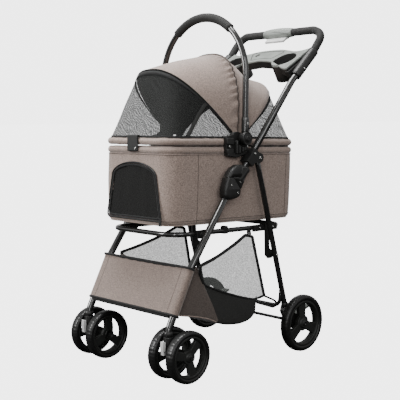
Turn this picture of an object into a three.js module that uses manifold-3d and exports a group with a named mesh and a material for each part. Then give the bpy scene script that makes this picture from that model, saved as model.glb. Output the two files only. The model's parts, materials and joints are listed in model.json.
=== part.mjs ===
// Folding pet stroller with a lift-off carrier.
//
// Units are millimetres, +Z is up, the stroller rolls towards -Y and is pushed from +Y.
// The origin is on the floor under the middle of the stroller. "Left" is the pusher's left, +X.
// Side views are written as [y, z] points, because nearly every part is shaped in that plane.

import * as THREE from 'three';
import { mergeVertices } from 'three/addons/utils/BufferGeometryUtils.js';
import Module from 'manifold-3d';

const wasm = await Module();
wasm.setup();

// ---------------------------------------------------------------- driving dimensions

const FRAME_X = 188;              // plane of the side tubes, either side of the middle
const FRAME_TUBE = 10;            // radius of the front legs and the handle tube
const REAR_TUBE = 8.5;            // radius of the rear legs
const GAP = 0.3;                  // air between pieces that touch

const FOLD_PIVOT = [-62, 520];    // knuckle between front legs and handle tube
const REAR_PIVOT = [33, 620];     // rear legs on the handle tube
const LINK_PIVOT = [117, 315];    // seat ring link on the rear legs
const RING_FRONT_PIVOT = [-172, 404];

const FRONT_AXLE = [-287, 75];
const FRONT_WHEEL_RADIUS = 75;
const CASTER_STEM_Y = -326;
const TWIN_OFFSET = 38.3;         // each caster wheel from the stem
const REAR_AXLE = [207, 90];
const REAR_WHEEL_RADIUS = 90;
const REAR_WHEEL_X = 220;
const TYRE_WIDTH = 30;
const AXLE_RADIUS = 5;
const AXLE_BORE = 5.6;
const PIN_RADIUS = 4;             // fold pivots
const PIN_BORE = 4.4;

const HANDLE_Y = 345;             // push bar
const HANDLE_Z = 1024;
const FOAM_RADIUS = 13;
const HOUSING_HALF = 62;          // release housing, half of its length

const TRAY_CENTRE = [245, 926];
const TRAY_TILT = THREE.MathUtils.degToRad(30);
const CUP_X = 112;
const CUP_RADIUS = 42;

const RING = { half: 150, front: -268, rear: 198, corner: 60, z: 404, radius: 7.5, slope: -0.017 };

const CARRIER_TILT = THREE.MathUtils.degToRad(-1.4);
const CARRIER_CENTRE = [-19, 545];
const RIM = { half: 154.5, front: -282.5, rear: 244.5, corner: 52, radius: 10.5 };
const LOWER_RIM_Z = 643.5;
const UPPER_RIM_Z = 668.5;
const CARRIER_FLOOR_Z = 428;
const CARRIER_WALL_TOP = 632;
const FABRIC = 3;

const BOW_PIVOT_Z = 684;
const BOW_HALF = 151;
const BOW_RADIUS = 3.5;
const BOWS = {
  front: { pivotY: -46, apex: [-232, 880] },
  middle: { pivotY: -22, apex: [8, 937] },
  rear: { pivotY: 2, apex: [211, 848] },
};
const BOW_SQUARENESS = 2.5;       // exponent of the superellipse, 2 is a plain ellipse

const ARCH_X = 187;
const ARCH_PIVOT = [-19, 679];
const ARCH_TUBE = 9.5;
const ARCH_TOP = 1051;
const ARCH_GRIP = 13.5;

const SIDES = [['left', 1], ['right', -1]];

// ---------------------------------------------------------------- materials

function material(colour, roughness, metalness = 0) {
  return new THREE.MeshStandardMaterial({ color: colour, roughness, metalness });
}

const blackTube = () => material(0x1b1b1a, 0.32, 0.6);
const blackPlastic = () => material(0x232322, 0.5);
const greyPlastic = () => material(0x9a9c98, 0.45);
const whitePlastic = () => material(0xe4e5e3, 0.4);
const rubber = () => material(0x2b2b2a, 0.62);
const foam = () => material(0x2e2d2c, 0.85);
const linen = () => material(0x85766d, 0.95);
const blackFabric = () => material(0x2a2725, 0.95);
const mesh = () => material(0x3a3b39, 0.9);
const padding = () => material(0x8f8780, 0.95);

// ---------------------------------------------------------------- solids and booleans

function toManifold(geometry) {
  const bare = geometry.clone();
  bare.deleteAttribute('normal');
  bare.deleteAttribute('uv');
  const merged = mergeVertices(bare, 1e-4);
  return new wasm.Manifold(new wasm.Mesh({
    numProp: 3,
    vertProperties: new Float32Array(merged.attributes.position.array),
    triVerts: new Uint32Array(merged.index.array),
  }));
}

function toGeometry(manifold) {
  const data = manifold.getMesh();
  const geometry = new THREE.BufferGeometry();
  geometry.setAttribute('position', new THREE.BufferAttribute(data.vertProperties, 3));
  geometry.setIndex(new THREE.BufferAttribute(data.triVerts, 1));
  return geometry;
}

function join(...geometries) {
  return toGeometry(geometries.map(toManifold).reduce((sum, next) => sum.add(next)));
}

function cut(geometry, ...tools) {
  return toGeometry(tools.map(toManifold).reduce((rest, tool) => rest.subtract(tool), toManifold(geometry)));
}

// ---------------------------------------------------------------- shape helpers

function outline(points) {
  return new THREE.Shape(points.map(([a, b]) => new THREE.Vector2(a, b)));
}

// Points given from a centre.
function around([y, z], points) {
  return points.map(([dy, dz]) => [y + dy, z + dz]);
}

// A side view [y, z] pulled out along X, between two distances from the middle.
function sideSolid(points, x0, x1) {
  const geometry = new THREE.ExtrudeGeometry(outline(points), {
    depth: Math.abs(x1 - x0), bevelEnabled: false, curveSegments: 6,
  });
  const toSide = new THREE.Matrix4().makeBasis(
    new THREE.Vector3(0, 1, 0), new THREE.Vector3(0, 0, 1), new THREE.Vector3(1, 0, 0));
  return geometry.applyMatrix4(toSide).translate(Math.min(x0, x1), 0, 0);
}

// A front view [x, z] pulled out along Y.
function frontSolid(points, y0, y1) {
  const geometry = new THREE.ExtrudeGeometry(outline(points), {
    depth: y1 - y0, bevelEnabled: false, curveSegments: 6,
  });
  return geometry.rotateX(Math.PI / 2).translate(0, y1, 0);
}

// A plan view [x, y] pulled up along Z.
function planSolid(points, z0, z1) {
  const geometry = new THREE.ExtrudeGeometry(outline(points), {
    depth: z1 - z0, bevelEnabled: false, curveSegments: 6,
  });
  return geometry.translate(0, 0, z0);
}

function cylinderX(radius, x0, x1, [y, z], sides = 16) {
  const geometry = new THREE.CylinderGeometry(radius, radius, Math.abs(x1 - x0), sides);
  return geometry.rotateZ(Math.PI / 2).translate((x0 + x1) / 2, y, z);
}

function cylinderZ(radius, z0, z1, x, y, sides = 16) {
  const geometry = new THREE.CylinderGeometry(radius, radius, z1 - z0, sides);
  return geometry.rotateX(Math.PI / 2).translate(x, y, (z0 + z1) / 2);
}

// The bore of a fold pivot, through everything at one side tube.
function pinBore(side, centre) {
  return cylinderX(PIN_BORE, side * (FRAME_X - 18), side * (FRAME_X + 18), centre, 12);
}

function box(x0, x1, y0, y1, z0, z1) {
  const geometry = new THREE.BoxGeometry(Math.abs(x1 - x0), y1 - y0, z1 - z0);
  return geometry.translate((x0 + x1) / 2, (y0 + y1) / 2, (z0 + z1) / 2);
}

function vec(x, y, z) {
  return new THREE.Vector3(x, y, z);
}

// A straight path longer at both ends by grow.
function straightPath(from, to, grow = 0) {
  const step = to.clone().sub(from).setLength(grow);
  return new THREE.LineCurve3(from.clone().sub(step), to.clone().add(step));
}

// Straight runs joined by bends, as a tube bender makes them; both ends run on by grow.
function bentPath(corners, bend, grow = 0) {
  const points = [...corners];
  const last = points.length - 1;
  if (grow > 0) {
    points[0] = straightPath(points[0], points[1], grow).v1;
    points[last] = straightPath(points[last - 1], points[last], grow).v2;
  }
  const path = new THREE.CurvePath();
  let start = points[0];
  for (let i = 1; i < points.length - 1; i += 1) {
    const corner = points[i];
    const back = start.clone().sub(corner).normalize();
    const ahead = points[i + 1].clone().sub(corner).normalize();
    const angle = Math.PI - back.angleTo(ahead);
    const length = bend * Math.tan(angle / 2);
    const enter = corner.clone().addScaledVector(back, length);
    const leave = corner.clone().addScaledVector(ahead, length);
    path.add(new THREE.LineCurve3(start, enter));
    path.add(new THREE.QuadraticBezierCurve3(enter, corner, leave));
    start = leave;
  }
  path.add(new THREE.LineCurve3(start, points[last]));
  return path;
}

function tube(path, radius, steps, sides = 10) {
  const section = outline(circlePoints(radius, sides));
  return new THREE.ExtrudeGeometry(section, { extrudePath: path, steps, bevelEnabled: false });
}

function circlePoints(radius, sides, centre = [0, 0]) {
  const points = [];
  for (let i = 0; i < sides; i += 1) {
    const angle = (i + 0.5) * 2 * Math.PI / sides;
    points.push([centre[0] + radius * Math.cos(angle), centre[1] + radius * Math.sin(angle)]);
  }
  return points;
}

// A rounded rectangle, counter-clockwise from the rear left corner. Each arc has a short straight
// lead at both ends, which keeps a smooth curve through the points from bulging on the long sides.
function roundedRectangle({ half, front, rear, corner }, arcSteps = 5) {
  const lead = 8;
  const centres = [
    [half - corner, rear - corner, 0],
    [-half + corner, rear - corner, 1],
    [-half + corner, front + corner, 2],
    [half - corner, front + corner, 3],
  ];
  const points = [];
  for (const [x, y, quarter] of centres) {
    const heading = [-Math.sin(quarter * Math.PI / 2), Math.cos(quarter * Math.PI / 2)];
    points.push([x + corner * heading[1] - lead * heading[0], y - corner * heading[0] - lead * heading[1]]);
    for (let i = 0; i <= arcSteps; i += 1) {
      const angle = (quarter + i / arcSteps) * Math.PI / 2;
      points.push([x + corner * Math.cos(angle), y + corner * Math.sin(angle)]);
    }
    points.push([x + corner * heading[0] - lead * heading[1], y + corner * heading[1] + lead * heading[0]]);
  }
  return points;
}

// A tube around a closed loop, which has no end faces.
function closedTube(points, radius, steps, sides = 8) {
  const curve = new THREE.CatmullRomCurve3(points, true, 'centripetal');
  const centres = curve.getSpacedPoints(steps);
  const { normals, binormals } = curve.computeFrenetFrames(steps, true);
  const positions = [];
  const faces = [];
  for (let i = 0; i < steps; i += 1) {
    for (const [a, b] of circlePoints(radius, sides)) {
      positions.push(centres[i].clone().addScaledVector(normals[i], a).addScaledVector(binormals[i], b));
    }
    const here = i * sides;
    const there = ((i + 1) % steps) * sides;
    for (let k = 0; k < sides; k += 1) {
      const next = (k + 1) % sides;
      faces.push(here + k, here + next, there + next, here + k, there + next, there + k);
    }
  }
  return indexed(positions, faces);
}

// A stack of equal loops closed at both ends; each loop is convex.
function loft(loops) {
  const count = loops[0].length;
  const positions = loops.flat();
  const faces = [];
  for (let level = 0; level < loops.length - 1; level += 1) {
    for (let i = 0; i < count; i += 1) {
      const a = level * count + i;
      const b = level * count + (i + 1) % count;
      faces.push(a, b, b + count, a, b + count, a + count);
    }
  }
  const last = (loops.length - 1) * count;
  for (let i = 1; i < count - 1; i += 1) {
    faces.push(0, i + 1, i, last, last + i, last + i + 1);
  }
  return indexed(positions, faces);
}

// A sheet with thickness: two equal grids of points, below and above, closed around the edge.
// Seen from above, the columns run to the right of the rows' direction.
function sheet(below, above) {
  const rows = below.length;
  const columns = below[0].length;
  const positions = [...below.flat(), ...above.flat()];
  const upper = rows * columns;
  const faces = [];
  const quad = (a, b, c, d) => faces.push(a, b, c, a, c, d);
  const at = (row, column) => row * columns + column;
  for (let r = 0; r < rows - 1; r += 1) {
    for (let c = 0; c < columns - 1; c += 1) {
      quad(at(r, c), at(r, c + 1), at(r + 1, c + 1), at(r + 1, c));
      quad(upper + at(r, c), upper + at(r + 1, c), upper + at(r + 1, c + 1), upper + at(r, c + 1));
    }
  }
  for (let c = 0; c < columns - 1; c += 1) {
    quad(at(0, c + 1), at(0, c), upper + at(0, c), upper + at(0, c + 1));
    quad(at(rows - 1, c), at(rows - 1, c + 1), upper + at(rows - 1, c + 1), upper + at(rows - 1, c));
  }
  for (let r = 0; r < rows - 1; r += 1) {
    quad(at(r, 0), at(r + 1, 0), upper + at(r + 1, 0), upper + at(r, 0));
    const [near, far] = [at(r, columns - 1), at(r + 1, columns - 1)];
    quad(far, near, upper + near, upper + far);
  }
  return indexed(positions, faces);
}

function indexed(positions, faces) {
  const geometry = new THREE.BufferGeometry().setFromPoints(positions);
  geometry.setIndex(faces);
  return geometry;
}

// ---------------------------------------------------------------- scene helpers

function add(group, name, geometry, surface) {
  const piece = new THREE.Mesh(geometry, surface);
  piece.name = name;
  group.add(piece);
  return piece;
}

// A group whose contents lean about an X axis through [y, z].
function leaningGroup([y, z], angle) {
  const group = new THREE.Group();
  group.rotation.x = angle;
  group.position.set(0, y - y * Math.cos(angle) + z * Math.sin(angle),
    z - y * Math.sin(angle) - z * Math.cos(angle));
  return group;
}

// ---------------------------------------------------------------- wheels

function wheel(radius, x, [y, z], armAngle) {
  const ringDepth = radius * 0.25;
  const inner = radius - ringDepth;
  const half = TYRE_WIDTH / 2;
  const section = [
    [inner, -half + 5], [inner + 5, -half], [radius - 7, -half], [radius, -half + 7],
    [radius, half - 7], [radius - 7, half], [inner + 5, half], [inner, half - 5], [inner, -half + 5],
  ];
  const ring = new THREE.LatheGeometry(section.map(([r, a]) => new THREE.Vector2(r, a)), 20);
  ring.rotateZ(-Math.PI / 2);
  const arms = [];
  const rootHalf = radius * 0.13;
  const rimHalf = radius * 0.19;
  const hubRadius = radius * 0.22;
  for (let i = 0; i < 3; i += 1) {
    const turn = armAngle + i * 2 * Math.PI / 3;
    const [cos, sin] = [Math.cos(turn), Math.sin(turn)];
    const corners = [
      [hubRadius, -rootHalf], [inner + 3, -rimHalf], [inner + 3, rimHalf], [hubRadius, rootHalf],
    ];
    for (const [out, across] of corners) {
      arms.push([out * cos - across * sin, out * sin + across * cos]);
    }
  }
  const spider = sideSolid(arms, -8, 8);
  const hub = cylinderX(hubRadius, -17, 17, [0, 0], 10);
  const bore = cylinderX(AXLE_BORE, -20, 20, [0, 0], 10);
  return cut(join(ring, spider, hub), bore).translate(x, y, z);
}

// ---------------------------------------------------------------- rear frame, axle and brakes

function rearLegY(z) {
  const foot = [165.5, 135];
  return REAR_PIVOT[0] + (REAR_PIVOT[1] - z) / (REAR_PIVOT[1] - foot[1]) * (foot[0] - REAR_PIVOT[0]);
}

const REAR_FOOT_Z = 118;

function rearLeg(side, grow = 0) {
  const x = side * FRAME_X;
  const path = straightPath(vec(x, ...REAR_PIVOT), vec(x, rearLegY(REAR_FOOT_Z), REAR_FOOT_Z), grow);
  return tube(path, REAR_TUBE + grow, 1, 12);
}

function rearFrame() {
  const legs = SIDES.map(([, side]) => {
    const x = side * FRAME_X;
    return join(rearLeg(side), cylinderX(REAR_TUBE, x - REAR_TUBE, x + REAR_TUBE, REAR_PIVOT, 14));
  });
  const barY = 146;
  const barZ = 148;
  const weldX = 184;
  const weldZ = 200;
  const path = bentPath([
    vec(weldX, rearLegY(weldZ), weldZ), vec(weldX - 4, barY, barZ),
    vec(-weldX + 4, barY, barZ), vec(-weldX, rearLegY(weldZ), weldZ),
  ], 30);
  const bar = tube(path, 6, 20, 8);
  const pinBores = SIDES.map(([, side]) => pinBore(side, REAR_PIVOT));
  return cut(join(...legs, bar), ...pinBores);
}

function rearHub(side) {
  const body = sideSolid([
    [150, 130], [157, 150], [177, 150], [196, 122], [222, 106], [231, 90], [225, 73], [206, 66], [189, 71],
    [168, 98],
  ], side * 176, side * 200.5);
  const axleBore = cylinderX(AXLE_BORE, side * 170, side * 210, REAR_AXLE, 12);
  return cut(body, rearLeg(side, GAP), axleBore);
}

const PEDAL_PIVOT = [229, 112];

function brakePedal(side) {
  return sideSolid(around(PEDAL_PIVOT, [
    [-5, -2], [-2, 6], [12, 17], [42, 24], [46, 18], [18, 10], [6, -4],
  ]), side * 172, side * 200);
}

// ---------------------------------------------------------------- front frame

const FRONT_LEG = [[CASTER_STEM_Y, 114.3], [CASTER_STEM_Y, 150], [-245, 308], [-97, 513]];

function frontLeg(side, grow = 0) {
  const points = FRONT_LEG.map(([y, z]) => vec(side * FRAME_X, y, z));
  return tube(bentPath(points, 70, grow), FRAME_TUBE + grow, 14, 10);
}

// Where the front leg's straight lower run is, at height z.
function frontLegY(z) {
  const [lower, upper] = [FRONT_LEG[1], FRONT_LEG[2]];
  return lower[0] + (z - lower[1]) / (upper[1] - lower[1]) * (upper[0] - lower[0]);
}

const PANEL_BOTTOM_Z = 186;
const PANEL_TOP_Z = 318;

function panelBar(z) {
  const reach = FRAME_X - FRAME_TUBE - GAP;
  return cylinderX(4.5, -reach, reach, [frontLegY(z), z], 10);
}

// Fabric panel stretched over the front legs: a shallow channel, open to the rear.
function frontPanel() {
  const rise = PANEL_TOP_Z - PANEL_BOTTOM_Z;
  const run = new THREE.Vector2(frontLegY(PANEL_TOP_Z) - frontLegY(PANEL_BOTTOM_Z), rise);
  const lean = -Math.atan2(run.x, run.y);
  const outerX = FRAME_X + FRAME_TUBE + 1.5 + FABRIC;
  const front = -FRAME_TUBE - 1 - FABRIC;
  const section = [
    [-outerX, front], [outerX, front], [outerX, 12], [outerX - FABRIC, 12],
    [outerX - FABRIC, front + FABRIC], [-outerX + FABRIC, front + FABRIC], [-outerX + FABRIC, 12],
    [-outerX, 12],
  ];
  return planSolid(section, 0, run.length()).rotateX(lean)
    .translate(0, frontLegY(PANEL_BOTTOM_Z), PANEL_BOTTOM_Z);
}

const BASKET_SAG = [
  [-285, 182], [-200, 156], [-118, 130], [-70, 113], [-10, 109], [34, 120], [54, 142], [60, 168], [92, 178],
];
const BASKET_HALF = 168;

// Under-seat basket: two side panels that rise to the seat ring, and one floor that sags.
function basket() {
  const lifted = BASKET_SAG.map(([y, z]) => [y, z + FABRIC]).reverse();
  const floor = sideSolid([...BASKET_SAG, ...lifted], -BASKET_HALF, BASKET_HALF);
  const hanger = [[94, 190], [40, 374], [14, 374], [-214, 314]];
  const panels = SIDES.map(([, side]) => (
    sideSolid([...BASKET_SAG, ...hanger], side * (BASKET_HALF - FABRIC), side * BASKET_HALF)
  ));
  return join(floor, ...panels);
}

// ---------------------------------------------------------------- fold knuckles

const KNUCKLE_INNER = FRAME_X - 14;
const KNUCKLE_OUTER = FRAME_X + 14;
const TONGUE_HALF = 7;
const LUG_RADIUS = 12;

const HANDLE_FOOT = [-45, 562];
const HANDLE_BEND = [195, 856];
const HANDLE_DIRECTION = new THREE.Vector2(240, 294).normalize();

function along([y, z], direction, distance) {
  return [y + direction.x * distance, z + direction.y * distance];
}

function lowerKnuckle(side) {
  const shell = sideSolid([
    [-126, 504], [-121, 530], [-108, 562], [-98, 570], [-90, 565], [-69.5, 543], [-76, 530],
    [-77.5, 520], [-74, 507], [-84, 501], [-110, 495],
  ], side * KNUCKLE_INNER, side * KNUCKLE_OUTER);
  const tongue = sideSolid([
    [-88, 534], [-66, 531.5], [-55, 529.5], [-50.5, 523], [-50.5, 517], [-55, 510.5], [-62, 508], [-86, 505],
  ], side * (FRAME_X - TONGUE_HALF), side * (FRAME_X + TONGUE_HALF));
  return cut(join(shell, tongue), frontLeg(side, GAP), pinBore(side, FOLD_PIVOT));
}

function upperKnuckle(side) {
  const shell = sideSolid([
    [-96, 572.5], [-76, 594], [-55, 603], [-35, 602], [-13, 592], [-20, 573], [-42, 544], [-48.5, 534],
    [-55, 536.5], [-67, 543.5],
  ], side * KNUCKLE_INNER, side * KNUCKLE_OUTER);
  const lug = circlePoints(LUG_RADIUS, 12, FOLD_PIVOT).filter(([, z]) => z < 522).reverse();
  const cheek = [[-66, 548], [-43, 542], [-47, 534], ...lug, [-72.5, 526], [-68, 535]];
  const slot = TONGUE_HALF + 0.6;
  const cheeks = [
    sideSolid(cheek, side * KNUCKLE_INNER, side * (FRAME_X - slot)),
    sideSolid(cheek, side * (FRAME_X + slot), side * KNUCKLE_OUTER),
  ];
  const pin = cylinderX(PIN_RADIUS, side * (KNUCKLE_INNER + 1), side * (KNUCKLE_OUTER - 1), FOLD_PIVOT, 12);
  return join(cut(join(shell, ...cheeks), handleTube(GAP)), pin);
}

// ---------------------------------------------------------------- handle tube and its fittings

const HANDLE_BEND_RADIUS = 26;

function handlePoints(side) {
  const x = side * FRAME_X;
  return [
    vec(x, ...HANDLE_FOOT), vec(x, ...HANDLE_BEND), vec(x, 316, 968), vec(x, 348, 1012),
    vec(side * 150, HANDLE_Y, HANDLE_Z),
  ];
}

function handleTube(grow = 0) {
  const points = [...handlePoints(1), ...handlePoints(-1).reverse()];
  return tube(bentPath(points, HANDLE_BEND_RADIUS, grow), FRAME_TUBE + grow, 48, 8);
}

function foamGrip(side) {
  const points = handlePoints(side).slice(2);
  const start = points[0].clone().lerp(vec(side * FRAME_X, ...HANDLE_BEND), 0.13);
  const end = vec(side * (HOUSING_HALF + GAP), HANDLE_Y, HANDLE_Z);
  const path = bentPath([start, ...points.slice(1), end], HANDLE_BEND_RADIUS);
  return cut(tube(path, FOAM_RADIUS, 12, 10), handleTube(GAP));
}

const HOUSING_RADIUS = 17;

function releaseHousing() {
  const profile = [
    [0, -HOUSING_HALF], [14, -HOUSING_HALF], [16, -48], [HOUSING_RADIUS, -20], [HOUSING_RADIUS, 20],
    [16, 48], [14, HOUSING_HALF], [0, HOUSING_HALF],
  ].map(([r, a]) => new THREE.Vector2(r, a));
  const body = new THREE.LatheGeometry(profile, 12).rotateZ(-Math.PI / 2).translate(0, HANDLE_Y, HANDLE_Z);
  const triggerRoom = box(-46, 46, HANDLE_Y - 20, HANDLE_Y + 5, HANDLE_Z - 20, HANDLE_Z - 10.5);
  return cut(body, handleTube(GAP), triggerRoom);
}

const TRIGGER_PIVOT = [HANDLE_Y + 1, HANDLE_Z - 16];

function releaseTrigger() {
  return sideSolid(around(TRIGGER_PIVOT, [
    [3, -2], [3, 3.5], [-15, 0], [-28, -11], [-25, -17], [-11, -8],
  ]), -42, 42);
}

// ---------------------------------------------------------------- cup tray between the handle tubes

function trayTilted(geometry) {
  return geometry.rotateX(TRAY_TILT).translate(0, ...TRAY_CENTRE);
}

// One half of an outline that is the same on both sides, from its rear middle to its front middle.
function mirrored(half) {
  const inner = half.slice(1, -1).map(([x, y]) => [-x, y]);
  return [...half, ...inner.reverse()];
}

const TRAY_OUTLINE = mirrored([
  [0, 79], [50, 77], [85, 65], [118, 54], [147, 58], [171, 72],
  [172, -72], [150, -64], [110, -38], [60, -8], [0, 5],
]);
const LID_OUTLINE = mirrored([[0, 66], [62, 62], [70, 54], [45, 11], [38, 11], [0, 19]]);
const LID_RECESS = [-42, 46];
const CUP_DEPTH = 58;

function trayTop() {
  const plate = planSolid(TRAY_OUTLINE, -3, 3);
  const wells = [-CUP_X, CUP_X].map((x) => cylinderZ(CUP_RADIUS, -10, 10, x, 0, 20));
  const middle = planSolid(LID_OUTLINE.map(([x, y]) => [x * 1.02, y * 1.03 - 0.9]), -10, 10);
  return trayTilted(cut(plate, ...wells, middle));
}

function trayBody() {
  const beam = planSolid(TRAY_OUTLINE.map(([x, y]) => [x * 0.985, y * 0.93]), -26, -3.3);
  const cups = [-CUP_X, CUP_X].map((x) => cylinderZ(CUP_RADIUS + 4, -CUP_DEPTH, -3.3, x, 0, 20));
  const hollows = [-CUP_X, CUP_X].map((x) => cylinderZ(CUP_RADIUS, -CUP_DEPTH + 4, 0, x, 0, 20));
  const pocket = planSolid(LID_OUTLINE.map(([x, y]) => [x * 0.95, y * 0.94]), -22, 0);
  const body = trayTilted(cut(join(beam, ...cups), ...hollows, pocket));
  const clamps = SIDES.map(([, side]) => trayClamp(side));
  return cut(join(body, ...clamps), handleTube(GAP));
}

const CLAMP_START = 22;
const CLAMP_END = 140;
const CLAMP_RADIUS = 15.5;

function trayClamp(side) {
  const [, bend, end] = handlePoints(side);
  const up = end.clone().sub(bend).normalize();
  const [low, high] = [CLAMP_START, CLAMP_END].map((reach) => bend.clone().addScaledVector(up, reach));
  const barrel = tube(new THREE.LineCurve3(low, high), CLAMP_RADIUS, 1, 12);
  const outline = [[184, 882], [292, 944], [288, 936], [212, 866], [196, 866]];
  const arm = sideSolid(outline, side * 166, side * 180);
  return join(barrel, arm);
}

function trayLid() {
  const plate = planSolid(LID_OUTLINE, -2.5, 3);
  const recess = cylinderZ(9, 0.5, 8, ...LID_RECESS, 14);
  return trayTilted(cut(plate, recess));
}

// ---------------------------------------------------------------- bracket that carries the rear leg pivot

function frameBracket(side) {
  const centre = along(HANDLE_FOOT, HANDLE_DIRECTION, 75);
  const across = new THREE.Vector2(HANDLE_DIRECTION.y, -HANDLE_DIRECTION.x);
  const local = ([t, n]) => along(along(centre, HANDLE_DIRECTION, t), across, n);
  const body = sideSolid([
    [-22, -14], [28, -14], [30, 12], [35, 22], [31, 34], [20, 38], [8, 34], [-8, 15], [-22, 13],
  ].map(local), side * 171.5, side * 204.5);
  const slot = sideSolid(around(REAR_PIVOT, [
    [-10.5, -40], [-10.5, 2], [-6.5, 9], [0, 11], [20, 21], [45, 33], [45, -40],
  ]), side * 178.7, side * 197.3);
  const pin = cylinderX(PIN_RADIUS, side * 173, side * 203, REAR_PIVOT, 12);
  return join(cut(body, slot, handleTube(GAP)), pin);
}

// ---------------------------------------------------------------- casters

function casterHousing(side) {
  const x = side * FRAME_X;
  const body = cylinderZ(14, 108, 133, x, CASTER_STEM_Y, 16);
  return cut(body, frontLeg(side, GAP));
}

function casterFork(side) {
  const x = side * FRAME_X;
  const [axleY, axleZ] = FRONT_AXLE;
  const body = sideSolid([
    [-340, 84], [-340, 107.5], [-312, 107.5], [-298, 98], [axleY + 12, axleZ + 12], [axleY + 16, axleZ],
    [axleY + 12, axleZ - 12], [axleY, axleZ - 16], [axleY - 13, axleZ - 12], [-316, 76],
  ], x - 13, x + 13);
  const shoulders = cylinderX(10, x - 20.8, x + 20.8, FRONT_AXLE, 14);
  const axle = cylinderX(AXLE_RADIUS, x - 55, x + 55, FRONT_AXLE, 12);
  return join(body, shoulders, axle);
}

function swivelLock(side) {
  const x = side * FRAME_X;
  return sideSolid([
    [-349, 84], [-342, 84], [-341, 104], [-341, 121], [-350, 124], [-352, 108],
  ], x - 6, x + 6);
}

// ---------------------------------------------------------------- seat ring

function ringZ(y) {
  return RING.z + (y + 35) * RING.slope;
}

function ringLoop() {
  return roundedRectangle(RING).map(([x, y]) => vec(x, y, ringZ(y)));
}

function seatRing() {
  const loop = closedTube(ringLoop(), RING.radius, 40, 8);
  const saddles = [];
  for (const x of [-RING.half, RING.half]) {
    for (const y of [-68, 120]) {
      saddles.push(box(x - 5, x + 5, y - 9, y + 9, ringZ(y) + 2, ringZ(y) + 15));
    }
  }
  return join(loop, ...saddles);
}

function ringLink(side) {
  const outer = RING.half + RING.radius + 0.5;
  const rail = box(side * outer, side * 166, 44, 150, ringZ(97) - 10, ringZ(97) + 10);
  const bar = sideSolid([
    [90, 412], [108, 412], [109, 336], [127, 322], [127, 308], [118, 303], [104, 303], [92, 314],
  ], side * 165.5, side * 171);
  const pin = cylinderX(PIN_RADIUS, side * 170, side * 179, LINK_PIVOT, 12);
  return join(rail, bar, pin);
}

function ringBracket(side) {
  const [y, z] = RING_FRONT_PIVOT;
  const outer = RING.half + RING.radius + 0.5;
  const block = box(side * outer, side * 168, y - 22, y + 22, z - 11, z + 13);
  return join(block, cylinderX(8, side * 167, side * 176.5, RING_FRONT_PIVOT, 14));
}

// ---------------------------------------------------------------- carrier body

function rimLoop(z) {
  return roundedRectangle(RIM).map(([x, y]) => vec(x, y, z));
}

function wallLoop(half, front, rear, corner, z) {
  return roundedRectangle({ half, front, rear, corner }).map(([x, y]) => vec(x, y, z));
}

const DOOR = { bottom: 442, shoulder: 578, top: 616, bottomHalf: 122, shoulderHalf: 98 };

function doorOutline(grow) {
  const { bottom, bottomHalf } = DOOR;
  const points = [[-bottomHalf - grow, bottom - grow], [bottomHalf + grow, bottom - grow]];
  const steps = 8;
  for (let i = 0; i <= steps; i += 1) {
    const angle = Math.PI * i / steps;
    points.push([(DOOR.shoulderHalf + grow) * Math.cos(angle),
      DOOR.shoulder + (DOOR.top + grow - DOOR.shoulder) * Math.sin(angle)]);
  }
  return points;
}

function carrierTub() {
  const outer = loft([
    wallLoop(150, -282, 240, 50, CARRIER_FLOOR_Z), wallLoop(158, -290, 248, 56, CARRIER_FLOOR_Z + 8),
    wallLoop(161, -289, 251, 56, CARRIER_WALL_TOP),
  ]);
  const inner = loft([
    wallLoop(148, -280, 238, 48, CARRIER_FLOOR_Z + 4), wallLoop(155, -287, 245, 53, CARRIER_FLOOR_Z + 11),
    wallLoop(158, -286, 248, 53, CARRIER_WALL_TOP + 5),
  ]);
  const doorway = frontSolid(doorOutline(-8), -300, -270);
  return cut(outer, inner, doorway);
}

function doorFlap() {
  return frontSolid(doorOutline(0), -294.6, -291.2);
}

function floorMat() {
  return loft([
    wallLoop(146, -276, 236, 46, CARRIER_FLOOR_Z + 4.5), wallLoop(148, -278, 238, 46, CARRIER_FLOOR_Z + 12),
    wallLoop(144, -274, 234, 46, CARRIER_FLOOR_Z + 18),
  ]);
}

function sideBlock(side) {
  const inner = RIM.half + RIM.radius + 0.5;
  const back = sideSolid([
    [-101, 642], [-101, 690], [-64, 692], [-58, 698], [-38, 699], [4, 690], [4, 668], [-10, 642], [-54, 632],
  ], side * inner, side * 176.5);
  const ribs = [-92, -80, -68].map((y) => box(side * 176, side * 190, y, y + 7, 646, 686));
  const spigot = sideSolid([[-52, 634], [-52, 664], [-42, 664], [-42, 634]], side * 176, side * 192);
  return join(back, ...ribs, spigot);
}

function frontClip() {
  const front = RIM.front - RIM.radius;
  return sideSolid([
    [front - 6, 640], [front - 0.6, 640], [front - 0.6, 682], [front + 7, 682], [front + 7, 687],
    [front - 6, 687],
  ], -24, 24);
}

// ---------------------------------------------------------------- canopy

function bowFrame({ pivotY, apex }) {
  const rise = new THREE.Vector2(apex[0] - pivotY, apex[1] - BOW_PIVOT_Z);
  return { height: rise.length(), direction: rise.normalize(), pivotY };
}

// A point on a bow; turn runs from 0 at the left foot through a quarter turn at the apex.
function bowPoint(bow, turn, inset = 0, lean = 0) {
  const { height, direction, pivotY } = bowFrame(bow);
  const power = 2 / BOW_SQUARENESS;
  const across = Math.sign(Math.cos(turn)) * Math.abs(Math.cos(turn)) ** power;
  const up = Math.abs(Math.sin(turn)) ** power;
  const leaned = direction.clone().rotateAround(new THREE.Vector2(0, 0), lean);
  const rise = (height - inset) * up;
  return vec((BOW_HALF - inset) * across, pivotY + leaned.x * rise, BOW_PIVOT_Z + leaned.y * rise);
}

function bow(spec) {
  const points = [];
  const steps = 24;
  for (let i = 0; i <= steps; i += 1) {
    points.push(bowPoint(spec, Math.PI * i / steps, FABRIC + BOW_RADIUS + 3));
  }
  return tube(new THREE.CatmullRomCurve3(points), BOW_RADIUS, 24, 6);
}

const FOOT_TURN = 0.16;           // fabric stops short of the bow's feet
const CANOPY_COLUMNS = 14;

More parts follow.
